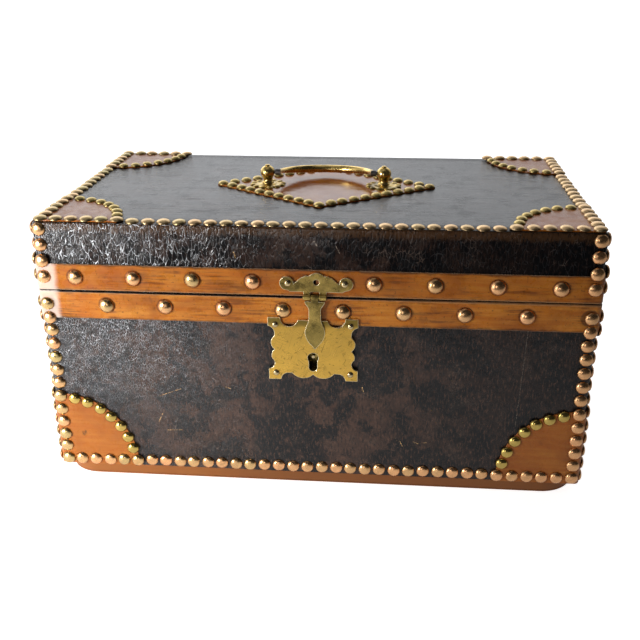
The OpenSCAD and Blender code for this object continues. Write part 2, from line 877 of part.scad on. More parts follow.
module hasp_tongue() {
    neck = hasp_knuckle_w / 6 + 0.1 - run_gap / 2;
    color(OLD_BRASS) translate([hasp_x, 0, 0]) difference() {
        union() {
            along_y(tongue_back - tongue_t, tongue_back) translate([0, hasp_axis_z]) tongue_outline();
            box_at(-neck, neck, tongue_back - tongue_t, tongue_back,
                hasp_axis_z - tongue_top - 1, hasp_axis_z);
            rod_x(hasp_knuckle_r, -neck, neck, hasp_axis_y, hasp_axis_z);
        }
        rod_x(hasp_pin_r + running_gap, -neck - 1, neck + 1, hasp_axis_y, hasp_axis_z);
    }
}

// Loop behind the tongue, whose eye takes the bolt
module hasp_staple() {
    color(OLD_BRASS) translate([hasp_x, 0, 0]) along_x(staple_t) difference() {
        union() {
            translate([eye_y, eye_z]) circle(staple_r);
            translate([tongue_back, eye_z - staple_r]) square([eye_depth, 2 * staple_r]);
        }
        translate([eye_y, eye_z]) circle(eye_r);
    }
}

// Handle posts: a turned foot, waist, flattened ball and button over a threaded stem
module post_holes() {
    for (s = [-1, 1]) translate([s * post_x, 0, ceiling_z - lining_t - 1]) cylinder(r = stem_r, h = lid_h);
}

module post(s) {
    foot = patch_t + rosette_t;
    crown = pivot_z + ball_h / 2;
    translate([s * post_x, 0, 0]) difference() {
        union() {
            translate([0, 0, top_z]) rotate_extrude() polygon([
                [0, foot], [4.1, foot], [4.1, foot + 0.7], [3.6, foot + 1.3], [3.3, foot + 2.1],
                [3.4, foot + 3], [3.8, pivot_h - 3], [3.8, pivot_h], [0, pivot_h]
            ]);
            translate([0, 0, pivot_z]) rotate_extrude() intersection() {
                translate([ball_r - ball_h / 2, 0]) circle(d = ball_h);
                translate([0, -ball_h]) square([ball_d, 2 * ball_h]);
            }
            translate([0, 0, crown - 0.5]) cylinder(r1 = 2.2, r2 = 1.9, h = 0.9);
            translate([0, 0, crown - 1.8]) sphere(2.6);
            translate([0, 0, stem_end]) cylinder(r = stem_r, h = top_z + foot + 0.5 - stem_end);
        }
        rod_x(pivot_r + running_gap, s > 0 ? -ball_r - 1 : ball_r - pivot_depth - 0.6,
            s > 0 ? pivot_depth + 0.6 - ball_r : ball_r + 1, 0, pivot_z);
    }
}

module left_post() {
    color(BRASS) post(-1);
}

module right_post() {
    color(BRASS) post(1);
}

module rosettes() {
    petal_r = rosette_r * sin(180 / petals) * 0.83;
    color(BRASS) for (s = [-1, 1]) translate([s * post_x, 0, 0]) difference() {
        union() {
            slab(rosette_z, rosette_z + 0.9) {
                circle(rosette_r);
                for (i = [0:petals - 1])
                    rotate((i + 0.5) * 360 / petals) translate([rosette_r - 1, 0]) circle(petal_r);
            }
            slab(rosette_z, rosette_z + rosette_t) circle(6);
        }
        translate([0, 0, top_z]) cylinder(r = stem_r, h = pivot_h);
    }
}

module post_washers() {
    color(OLD_BRASS) for (s = [-1, 1]) translate([s * post_x, 0, 0])
        slab(ceiling_z - lining_t - washer_t, ceiling_z - lining_t) difference() {
            circle(5.5);
            circle(stem_r);
        }
}

module post_nuts() {
    z = ceiling_z - lining_t - washer_t;
    color(OLD_BRASS) for (s = [-1, 1]) translate([s * post_x, 0, 0]) slab(z - nut_t, z) difference() {
        circle(d = nut_w / cos(30), $fn = 6);
        circle(stem_r);
    }
}

// Bail in its own plane, where Y is the distance from the pivots, swept through rings
bail_steps = 30;
bail_sides = 14;
function bail_point(i) = [-bail_x * cos(180 * i / bail_steps), bail_reach * sin(180 * i / bail_steps), 0];
function bail_heading(i) = [bail_x * sin(180 * i / bail_steps), bail_reach * cos(180 * i / bail_steps), 0];
function bail_radius(i) = eased(bail_end_r, grip_r, pow(sin(180 * i / bail_steps), 1.3));
bail_points = [
    for (i = [0:bail_steps], j = [0:bail_sides - 1])
        let (ahead = bail_heading(i) / norm(bail_heading(i)), across = [ahead[1], -ahead[0], 0],
            turn = 360 * j / bail_sides)
            bail_point(i) + bail_radius(i) * (across * cos(turn) + [0, 0, 1] * sin(turn))
];
bail_faces = concat(
    [[for (j = [0:bail_sides - 1]) j]],
    [for (i = [0:bail_steps - 1], j = [0:bail_sides - 1], half = [0, 1])
        let (a = i * bail_sides + j, b = i * bail_sides + (j + 1) % bail_sides, far = b + bail_sides)
            half == 0 ? [a, a + bail_sides, far] : [a, far, b]],
    [[for (j = [bail_sides - 1:-1:0]) bail_steps * bail_sides + j]]
);

module handle_bail() {
    color(BRASS) translate([0, 0, pivot_z]) rotate([-rest_angle, 0, 0]) polyhedron(bail_points, bail_faces);
}

// Dark pivots on the bail's ends, each a collar and a pin that turns in the post's ball
module handle_pivots() {
    color(IRON) for (s = [-1, 1]) {
        inner = collar_end - collar_len;
        outer = collar_end + run_gap + pivot_depth;
        rod_x(collar_r, s > 0 ? inner : -collar_end, s > 0 ? collar_end : -inner, 0, pivot_z);
        rod_x(pivot_r, s > 0 ? inner : -outer, s > 0 ? outer : -inner, 0, pivot_z);
    }
}

base_sheet();
base_board();
base_edging();
front_board();
back_board();
left_board();
right_board();
body_leather();
body_band();
body_corner_patches();
body_lining();
bottom_row_nails();
body_column_nails();
body_band_nails();
body_arc_nails();
lid_top_board();
lid_front_rail();
lid_back_rail();
lid_left_rail();
lid_right_rail();
lid_leather();
lid_band();
top_corner_patches();
diamond_patch();
lid_lining();
top_row_nails();
lid_column_nails();
lid_band_nails();
top_arc_nails();
diamond_nails();
body_hinge_leaves();
lid_hinge_leaves();
hinge_pins();
body_hinge_screws();
lid_hinge_screws();
lock_plate();
lock_plate_nails();
lock_case();
drill_pin();
lock_bolt();
lock_spring();
hasp_leaf();
hasp_nails();
hasp_pin();
hasp_tongue();
hasp_staple();
left_post();
right_post();
rosettes();
post_washers();
post_nuts();
handle_bail();
handle_pivots();
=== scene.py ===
import math
import random
from contextlib import contextmanager

import bpy
from bpy.props import FloatProperty, FloatVectorProperty, IntProperty, PointerProperty
from mathutils import Matrix, Vector


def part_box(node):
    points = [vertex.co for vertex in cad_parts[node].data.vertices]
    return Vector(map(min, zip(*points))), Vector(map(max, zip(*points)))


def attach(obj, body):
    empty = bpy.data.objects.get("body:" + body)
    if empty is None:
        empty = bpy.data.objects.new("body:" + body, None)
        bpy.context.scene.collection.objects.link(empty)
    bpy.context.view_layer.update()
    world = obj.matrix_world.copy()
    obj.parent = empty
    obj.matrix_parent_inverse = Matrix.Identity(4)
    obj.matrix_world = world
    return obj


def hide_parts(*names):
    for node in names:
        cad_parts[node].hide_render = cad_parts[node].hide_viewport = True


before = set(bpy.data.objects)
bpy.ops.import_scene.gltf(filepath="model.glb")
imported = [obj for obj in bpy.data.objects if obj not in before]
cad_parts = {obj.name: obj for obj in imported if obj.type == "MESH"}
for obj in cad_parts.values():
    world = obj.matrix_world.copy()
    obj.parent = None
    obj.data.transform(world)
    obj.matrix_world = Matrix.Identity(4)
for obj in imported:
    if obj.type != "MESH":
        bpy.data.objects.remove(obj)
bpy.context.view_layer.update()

bl_info = {
    "name": "Leather Document Box",
    "version": (1, 0, 0),
    "blender": (4, 5, 0),
    "location": "View3D > Sidebar > Document Box",
    "description": "Dresses a nailed leather document box around its packed frame",
    "category": "Add Mesh",
}


def corners(node):
    """A frame node's lowest and highest corners at rest."""
    return [Vector(corner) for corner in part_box(node)]


BODY_LOW, BODY_HIGH = corners("body_leather")
LID_LOW, LID_HIGH = corners("lid_leather")
STRAP_LOW, STRAP_HIGH = corners("body_band")
LID_STRAP_LOW, LID_STRAP_HIGH = corners("lid_band")
PIN_LOW, PIN_HIGH = corners("hinge_pins")
HALF_WIDTH, HALF_DEPTH, SEAM_Z = BODY_HIGH
TOP_Z = LID_HIGH.z
HINGE_Y = (PIN_LOW.y + PIN_HIGH.y) / 2
HINGE_Z = (PIN_LOW.z + PIN_HIGH.z) / 2
SIDES = range(4)  # front, right, back and left
FRONT, BACK = SIDES[0], SIDES[2]

# Cuts and clearances, in metres
BACK_GAP = 0.0004  # how far the rims' bevels stay behind the hinge line
HINGE_SPANS = ((-0.1283, -0.0917), (0.0917, 0.1283))  # where the knuckles lie along x
KNUCKLE_ROOM = 0.0023  # radius cleared round the knuckles
CUTTER_OUT = 0.004  # how far a cutter stands out of the front
STAPLE_SLOT = (-0.0001, 0.0031)  # slot for the hasp's staple along x
STAPLE_SLOT_BACK = -0.0938
STAPLE_SLOT_DROP = 0.004  # how far the slot goes down into the lock case
HASP_HOLE_RISE = 0.0098  # from the seam to the hole behind the hasp's pin
HASP_HOLE = 0.0019
OVERCUT = 0.002  # how far the slot's cutter goes past the seam
LEAF = 0.0015  # thickness of the hasp's leaf
KNUCKLE_MARGIN = 0.0015  # how far the hasp's knuckles reach past its pin
SHORT = 1e-5  # lengths below this count as none
FACING = 0.99  # share of a normal along an axis that counts as facing it

# Small roundings of cut edges, in metres
PATCH_ROUND = 0.0004
BASE_EDGE_ROUND = 0.0005
SHEET_ROUND = 0.0003
PLATE_ROUND = 0.0003

# How the nails are set by hand
SEED = 7
FULL_SPIN = 6.28
CAST_MIDDLE = 0.6  # share of the second tone in the middle of the box
CAST_FALL = 2.2  # how much it falls for each metre to the right
BAND_COUNT = 20  # strap nails tried to each side of a wall's middle

# Profiles, as radius and height in metres
POST_FOOT = (
    (0.0019, -0.0002), (0.0040, -0.0001), (0.0042, 0.0003), (0.0041, 0.0007), (0.0036, 0.0012),
    (0.0033, 0.002), (0.0033, 0.0028), (0.0036, 0.0036),
)
POST_TIP = (
    (0.0019, -0.0001), (0.0017, 0.0001), (0.00165, 0.0002), (0.00175, 0.00035), (0.0016, 0.0006),
    (0.0010, 0.00078), (0.0004, 0.0008),
)
POST_END = (0.0019, -0.004)  # inside the lid
ROSETTE_BOSS = ((0.0075, 0.0006), (0.0062, 0.0008), (0.0056, 0.0013), (0.0045, 0.00135), (0.0021, 0.0013))
ROSETTE_RISE = 0.0013
BEAD = ((0.0019, 0.0), (0.0022, 0.0002), (0.0021, 0.0007), (0.0015, 0.0011), (0.0006, 0.0013))
DOME = ((0.985, 0.24), (0.83, 0.62), (0.5, 0.9), (0.17, 1.0))  # as shares of a head's radius and rise
BALL_STEPS = 13
BALL_FROM = -44  # degrees from the ball's widest point down to its foot
BALL_STEP = 9.8
BAIL_STEPS = 40


def LengthProperty(name, description, default):
    return FloatProperty(name=name, description=description, default=default, unit="LENGTH")


def AngleProperty(name, description, degrees):
    return FloatProperty(name=name, description=description, default=math.radians(degrees), subtype="ANGLE")


def AmountProperty(name, description, default):
    return FloatProperty(name=name, description=description, default=default)


def CountProperty(name, description, default):
    return IntProperty(name=name, description=description, default=default)


def ToneProperty(name, description, default):
    return FloatVectorProperty(name=name, description=description, default=default, size=4, subtype="COLOR")


class HideSizes(bpy.types.PropertyGroup):
    leather: LengthProperty("Leather", "Thickness of the black leather", 0.0012)
    upright_round: LengthProperty("Upright rounding", "Radius of the box's upright edges", 0.0025)
    top_round: LengthProperty("Top rounding", "Radius of the lid's top edges", 0.0018)
    base_round: LengthProperty("Base rounding", "Radius of the base strip's corners", 0.024)
    strap: LengthProperty("Strap", "Thickness of the tan straps at the seam", 0.0014)
    strap_round: LengthProperty("Strap rounding", "Radius along the straps' cut edges", 0.0006)
    patch: LengthProperty("Patch", "Thickness of the tan patches", 0.001)
    bevel_slope: AngleProperty("Back bevel", "Slope of the bevels at the back rims", 50)
    lining: LengthProperty("Lining", "Thickness of the cloth lining", 0.0007)
    lining_corner: LengthProperty("Lining corner", "Radius that the cloth takes in the corners", 0.003)


class NailSizes(bpy.types.PropertyGroup):
    row_inset: LengthProperty("Row inset", "From the box's edge to the row of edge nails", 0.0046)
    pitch: LengthProperty("Edge pitch", "Distance between edge nails", 0.0097)
    head: LengthProperty("Edge head", "Width of an edge nail's head", 0.0088)
    rise: LengthProperty("Edge rise", "Height of an edge nail's head", 0.0022)
    band_head: LengthProperty("Strap head", "Width of a strap nail's head", 0.010)
    band_rise: LengthProperty("Strap rise", "Height of a strap nail's head", 0.003)
    band_pitch: LengthProperty("Strap pitch", "Distance between strap nails", 0.0376)
    band_offset: LengthProperty("Strap offset", "From the seam to the strap nails", 0.009)
    accent_head: LengthProperty("Accent head", "Width of an accent nail's head", 0.0084)
    top_accent_head: LengthProperty("Top accent head", "Width of an accent nail's head on the top", 0.0074)
    accent_rise: LengthProperty("Accent rise", "Height of an accent nail's head", 0.0023)
    plate_head: LengthProperty("Plate head", "Width of a lock plate nail's head", 0.0042)
    plate_rise: LengthProperty("Plate rise", "Height of a lock plate nail's head", 0.0013)
    hasp_head: LengthProperty("Hasp head", "Width of a hasp nail's head", 0.0046)
    hasp_rise: LengthProperty("Hasp rise", "Height of a hasp nail's head", 0.0015)
    arc: LengthProperty("Arc", "Radius of the quarter circles of accent nails", 0.047)
    arc_steps: CountProperty("Arc steps", "Intervals along a quarter circle", 8)
    diamond_width: LengthProperty("Diamond width", "Half width of the nailed diamond", 0.073)
    diamond_depth: LengthProperty("Diamond depth", "Half depth of the nailed diamond", 0.053)
    diamond_steps: CountProperty("Diamond steps", "Intervals along a side of the diamond", 10)
    patch_reach: LengthProperty("Patch reach", "Radius of the corner patches about the corner nail", 0.0495)
    stray: LengthProperty("Stray", "How far a hand-set nail strays from its place", 0.00022)
    sink: LengthProperty("Sink", "How deep a hand-set nail may sink", 0.00012)
    lean: AngleProperty("Lean", "How far a hand-set nail leans", 3.5)


class HandleSizes(bpy.types.PropertyGroup):
    span: LengthProperty("Span", "Distance between the posts", 0.082)
    pivot: LengthProperty("Pivot height", "Height of the pivots above the lid", 0.010)
    pivot_hole: LengthProperty("Pivot hole", "Radius of the posts' holes for the pivots", 0.00127)
    ball: LengthProperty("Ball", "Width of a post's ball", 0.0103)
    ball_height: LengthProperty("Ball height", "Height of a post's ball", 0.0092)
    reach: LengthProperty("Reach", "From the pivots to the middle of the grip", 0.0297)
    rest_height: LengthProperty("Rest height", "Height of the grip's middle above the lid at rest", 0.0061)
    grip: LengthProperty("Grip", "Radius of the grip's middle", 0.0028)
    end: LengthProperty("End", "Radius of the bail's ends", 0.00175)
    rosette: LengthProperty("Rosette", "Radius of the rosettes without their beads", 0.0105)
    petals: CountProperty("Petals", "Beads round a rosette", 12)


class FinishColours(bpy.types.PropertyGroup):
    black: ToneProperty("Black leather", "Darkest tone of the leather", (0.0028, 0.0027, 0.0034, 1))
    brown: ToneProperty("Worn brown", "Brown where the black has worn", (0.075, 0.037, 0.024, 1))
    tan: ToneProperty("Tan leather", "Main tone of the tan leather", (0.5, 0.14, 0.01, 1))
    tan_dark: ToneProperty("Dark tan", "Handled and stained tan leather", (0.25, 0.062, 0.008, 1))
    # Grime also darkens round the strap nails, partly as dirt and partly as painted shadow
    grime: ToneProperty("Grime", "Dirt round nails and along edges", (0.03, 0.013, 0.007, 1))
    copper: ToneProperty("Copper nails", "Polished tone of the edge nails", (0.88, 0.46, 0.22, 1))
    accent: ToneProperty("Accent nails", "Polished tone of the yellow nails", (0.6, 0.43, 0.12, 1))
    plate: ToneProperty("Lock plate", "Rubbed brass of the lock plate", (0.7, 0.42, 0.08, 1))
    old_brass: ToneProperty("Old brass", "Dull brass of the hasp", (0.6, 0.42, 0.12, 1))
    wood: ToneProperty("Wood", "Main tone of the boards", (0.5, 0.3, 0.14, 1))
    lining: ToneProperty("Lining", "Tone of the cloth inside", (0.15, 0.018, 0.02, 1))


class StageSettings(bpy.types.PropertyGroup):
    floor: ToneProperty("Floor", "Tone of the floor", (0.9, 0.9, 0.9, 1))
    glow: AmountProperty("Floor glow", "Light that the paper under the box adds to its own white", 0.85)
    bounce: AmountProperty("Floor bounce", "Light that the lit paper near the box sends back up to it", 0.75)
    dim: AmountProperty("Dim room", "Light from the room's dark sides", 0.03)
    behind: AmountProperty("Bright wall", "Light from the pale wall behind the box", 1.8)
    left: AmountProperty("Left wall", "Light from the pale wall at the left", 0.9)
    window: AmountProperty("Window", "Power of the window at the left", 1.1)
    far_window: AmountProperty("Far window", "Power of the smaller window across the room", 0.7)
    ceiling: AmountProperty("Ceiling", "Power of the soft light overhead", 1.6)
    lens: AmountProperty("Lens", "Focal length on a 36 mm sensor, in millimetres", 48.1)
    eye: FloatVectorProperty(
        name="Camera", description="Place of the camera", subtype="TRANSLATION",
        default=(0.0476, -0.5924, 0.3297))
    pitch: AngleProperty("Pitch", "How far the camera looks down", 23.0)
    yaw: AngleProperty("Yaw", "How far the camera looks right", -5.02)
    roll: AngleProperty("Roll", "How far the camera tips", 0.29)


class BoxSettings(bpy.types.PropertyGroup):
    hide: PointerProperty(type=HideSizes)
    nails: PointerProperty(type=NailSizes)
    handle: PointerProperty(type=HandleSizes)
    colours: PointerProperty(type=FinishColours)
    stage: PointerProperty(type=StageSettings)


def settings():
    return bpy.context.scene.document_box


# Modelling by operators
def activate(piece):
    if bpy.context.mode != "OBJECT":
        bpy.ops.object.mode_set(mode="OBJECT")
    bpy.ops.object.select_all(action="DESELECT")
    if piece:
        piece.select_set(True)
        bpy.context.view_layer.objects.active = piece


@contextmanager
def picked(piece, kind, test=lambda item: True):
    """Edit mode with only the points, edges or faces that pass the test selected."""
    activate(piece)
    bpy.ops.object.mode_set(mode="EDIT")
    bpy.ops.mesh.select_mode(type=kind)
    bpy.ops.mesh.select_all(action="DESELECT")
    bpy.ops.object.mode_set(mode="OBJECT")
    mesh = piece.data
    for item in {"VERT": mesh.vertices, "EDGE": mesh.edges, "FACE": mesh.polygons}[kind]:
        item.select = test(item)
    bpy.ops.object.mode_set(mode="EDIT")
    yield
    bpy.ops.object.mode_set(mode="OBJECT")


def modified(piece, kind, **values):
    modifier = piece.modifiers.new(kind.title(), kind)
    for key, value in values.items():
        setattr(modifier, key, value)
    activate(piece)
    bpy.ops.object.modifier_apply(modifier=modifier.name)


def settled(name=None):
    """Names the active object and puts its place and turn into its mesh."""
    piece = bpy.context.object
    piece.name = name or piece.name
    activate(piece)
    bpy.ops.object.transform_apply(location=True, rotation=True, scale=True)
    return piece


def block(name, low, high):
    activate(None)
    low, high = Vector(low), Vector(high)
    bpy.ops.mesh.primitive_cube_add(size=1, location=(low + high) / 2, scale=high - low)
    return settled(name)


def cut(piece, cutter, keep="DIFFERENCE"):
    modified(piece, "BOOLEAN", object=cutter, operation=keep, solver="EXACT")
    bpy.data.objects.remove(cutter)


def drill(piece, start, end, radius, sides=32):
    """Cuts a round hole from start to end."""
    activate(None)
    start, end = Vector(start), Vector(end)
    run = end - start
    bpy.ops.mesh.primitive_cylinder_add(
        vertices=sides, radius=radius, depth=run.length,
        location=(start + end) / 2, rotation=run.to_track_quat("Z", "Y").to_euler())
    cut(piece, settled("cutter"))


def round_edges(piece, test, radius, segments):
    """Rounds the edges whose two points pass the test."""
    with picked(piece, "EDGE", lambda edge: test(*(piece.data.vertices[i].co for i in edge.vertices))):
        bpy.ops.mesh.bevel(offset=radius, segments=segments, affect="EDGES", clamp_overlap=False)


def upright(a, b):
    return (a - b).length > 10 * SHORT and (a - b).xy.length < SHORT


def smooth_over(piece, degrees=40):
    activate(piece)
    bpy.ops.object.shade_smooth_by_angle(angle=math.radians(degrees))


def soften(piece, width, degrees, segments=2):
    """Rounds every edge that turns by more than so many degrees, and shades the faces smoothly."""
    modified(
        piece, "BEVEL", width=width, segments=segments, limit_method="ANGLE",
        angle_limit=math.radians(degrees), use_clamp_overlap=False)
    smooth_over(piece)
    modified(piece, "WEIGHTED_NORMAL", keep_sharp=True)


def from_frame(name, node):
    """A merged copy of a frame solid, as the start of a softer piece."""
    piece = bpy.data.objects.new(name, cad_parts[node].data.copy())
    bpy.context.collection.objects.link(piece)
    piece.data.materials.clear()
    with picked(piece, "VERT"):
        bpy.ops.mesh.remove_doubles(threshold=2e-6)
        bpy.ops.mesh.dissolve_limited(angle_limit=math.radians(0.4))
    return piece


def turned(name, profile, sides, place=(0, 0, 0)):
    """Turns a solid on the lathe: a filled ring extruded and resized up its profile."""
    x, y, z = place
    radius, height = profile[0]
    activate(None)
    bpy.ops.mesh.primitive_circle_add(
        vertices=sides, radius=radius, fill_type="NGON", location=(x, y, z + height))
    piece = settled(name)
    with picked(piece, "FACE"):
        for next_radius, next_height in profile[1:]:
            bpy.ops.mesh.extrude_region_move(TRANSFORM_OT_translate={"value": (0, 0, next_height - height)})
            share = next_radius / radius
            bpy.ops.transform.resize(value=(share, share, 1), center_override=(x, y, z + next_height))
            radius, height = next_radius, next_height
        bpy.ops.mesh.select_all(action="SELECT")
        bpy.ops.mesh.normals_make_consistent(inside=False)
    smooth_over(piece, 50)
    return piece


def joined(name, parts):
    activate(parts[0])
    for part in parts:
        part.select_set(True)
    bpy.ops.object.join()
    parts[0].name = name
    return parts[0]


def copies(name, model, places, casts=None):
    """One piece of many copies of a model, each with its own mesh and, where casts are given, its tone."""
    parts = []
    for i, place in enumerate(places):
        part = bpy.data.objects.new(name, model.data.copy())
        part.data.transform(place)
        if casts:
            cast = part.data.attributes.new("cast", "FLOAT", "POINT")
            for share in cast.data:
                share.value = casts[i]
        bpy.context.collection.objects.link(part)
        parts.append(part)
    return joined(name, parts)


def dress(piece, body, node, finish):
    piece.data.materials.clear()
    piece.data.materials.append(bpy.data.materials[finish])
    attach(piece, body)
    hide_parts(node)


def worn_rim(piece):
    """Gives the faces round a plate's outline a rubbed finish, though not the hasp's knuckles."""
    piece.data.materials.append(bpy.data.materials["rubbed_brass"])
    pin_low, pin_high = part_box("hasp_pin")
    for face in piece.data.polygons:
        knuckle = pin_low[2] - KNUCKLE_MARGIN < face.center.z < pin_high[2] + KNUCKLE_MARGIN
        face.material_index = int(abs(face.normal.y) < 0.95 and not knuckle)


def shell(name, low, high, wall, corner, closed=0, end_round=0.0, segments=5):
    """A box of sheet with rounded edges. Closed is 1 where it has a top, -1 for a floor and 0 for neither."""
    piece = block(name, low, high)
    round_edges(piece, upright, corner, segments)
    if end_round:
        end = high[2] if closed > 0 else low[2]
        round_edges(piece, lambda a, b: max(abs(a.z - end), abs(b.z - end)) < SHORT, end_round, 4)
    with picked(piece, "FACE", lambda face: abs(face.normal.z) > FACING > face.normal.z * closed):
        bpy.ops.mesh.delete(type="FACE")
    modified(piece, "SOLIDIFY", thickness=wall, offset=-1, use_even_offset=True)
    return piece


def bevel_back(piece, side):
    """Slopes the rim at the back, so that the open lid stops on it. Side is -1 below the seam and 1 above."""
    slope = settings().hide.bevel_slope
    normal = (0, math.sin(slope), -side * math.cos(slope))
    with picked(piece, "VERT"):
        bpy.ops.mesh.bisect(
            plane_co=(0, HINGE_Y - BACK_GAP, HINGE_Z), plane_no=normal, use_fill=True, clear_outer=True)


def clear_hinges(piece):
    for low, high in HINGE_SPANS:
        drill(piece, (low, HINGE_Y, HINGE_Z), (high, HINGE_Y, HINGE_Z), KNUCKLE_ROOM)


def clear_lock(piece):
    low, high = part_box("lock_case")
    left, right = STAPLE_SLOT
    front = -HALF_DEPTH - CUTTER_OUT
    cut(piece, block("cutter", (low[0], front, low[2]), high))
    foot = (left, front, high[2] - STAPLE_SLOT_DROP)
    cut(piece, block("cutter", foot, (right, STAPLE_SLOT_BACK, SEAM_Z + OVERCUT)))


# Node trees
class Graph:
    """Short ways to add and join nodes of one tree."""

    def __init__(self, tree):
        self.tree = tree

    def feed(self, sockets, values):
        """Links each socket to another one, or sets its own constant."""
        for key, value in values.items():
            socket = sockets[key.replace("_", " ") if isinstance(key, str) else key]
            if isinstance(value, bpy.types.NodeSocket):
                self.tree.links.new(value, socket)
            else:
                socket.default_value = value

    def surface(self, **values):
        self.feed(self.tree.nodes["Principled BSDF"].inputs, values)

    def add(self, kind, inputs=None, **values):
        node = self.tree.nodes.new("ShaderNode" + kind)
        for key, value in values.items():
            setattr(node, key, value)
        self.feed(node.inputs, inputs or {})
        return node

    def group(self, name, **inputs):
        node = self.add("Group", node_tree=bpy.data.node_groups[name])
        self.feed(node.inputs, inputs)
        return node.outputs

    def math(self, operation, *values):
        return self.add("Math", dict(enumerate(values)), operation=operation).outputs[0]

    def vector(self, operation, inputs):
        return self.add("VectorMath", inputs, operation=operation).outputs[0]

    def plus(self, a, b):
        return self.math("ADD", a, b)

    def minus(self, a, b):
        return self.math("SUBTRACT", a, b)

    def times(self, product, *others):
        for other in others:
            product = self.math("MULTIPLY", product, other)
        return product

    def dot(self, a, b):
        return self.plus(self.times(a[0], b[0]), self.times(a[1], b[1]))

    def pick(self, factor, a, b):
        """From one value to another as the factor goes from 0 to 1."""
        return self.add("Mix", {0: factor, 2: a, 3: b}).outputs[0]

    def mix(self, factor, a, b):
        return self.add("Mix", {0: factor, 6: a, 7: b}, data_type="RGBA").outputs[2]

    def tint(self, colour, tone, *masks):
        """The colour with a tone laid over it where all the masks let it through."""
        return self.mix(self.times(*masks), colour, tone)

    def span(self, value, low, high, start=0.0, end=1.0):
        """A smooth step from start, where the value is low, to end, where it is high."""
        inputs = {"Value": value, "From Min": low, "From Max": high, "To Min": start, "To Max": end}
        return self.add("MapRange", inputs, interpolation_type="SMOOTHSTEP").outputs[0]

    def xyz(self, vector):
        return self.add("SeparateXYZ", {0: vector}).outputs

    def stretched(self, vector, scale, turn=(0, 0, 0)):
        return self.add("Mapping", {"Vector": vector, "Rotation": turn, "Scale": scale}).outputs[0]

    def noise(self, vector, scale, detail=2.0, roughness=0.5, distortion=0.0):
        inputs = {"Vector": vector, "Scale": scale, "Detail": detail, "Roughness": roughness}
        return self.add("TexNoise", {**inputs, "Distortion": distortion}).outputs[0]

    def wander(self, vector, scale, detail, roughness, size):
        """Noise about nought, as wide as its size."""
        return self.times(self.minus(self.noise(vector, scale, detail, roughness), 0.5), size)

    def clouds(self, place, patches, low, high):
        return self.group("Clouds", Vector=place, Patches=patches, Low=low, High=high)[0]

    def bump(self, height, strength, distance, under=None):
        inputs = {"Height": height, "Strength": strength, "Distance": distance}
        if under:
            inputs["Normal"] = under
        return self.add("Bump", inputs).outputs[0]


def new_group(name, outputs, **amounts):
    """An empty effect: its graph, the sockets it fills, and the place and amounts it is given."""
    tree = bpy.data.node_groups.new(name, "ShaderNodeTree")
    tree.interface.new_socket(name="Vector", in_out="INPUT", socket_type="NodeSocketVector")
    for label, amount in amounts.items():
        socket = tree.interface.new_socket(
            name=label.replace("_", " "), in_out="INPUT", socket_type="NodeSocketFloat")
        socket.default_value = amount
    for label in outputs:
        tree.interface.new_socket(name=label, in_out="OUTPUT", socket_type="NodeSocketFloat")
    given = tree.nodes.new("NodeGroupInput").outputs
    out = tree.nodes.new("NodeGroupOutput").inputs
    return Graph(tree), out, *list(given)[:1 + len(amounts)]


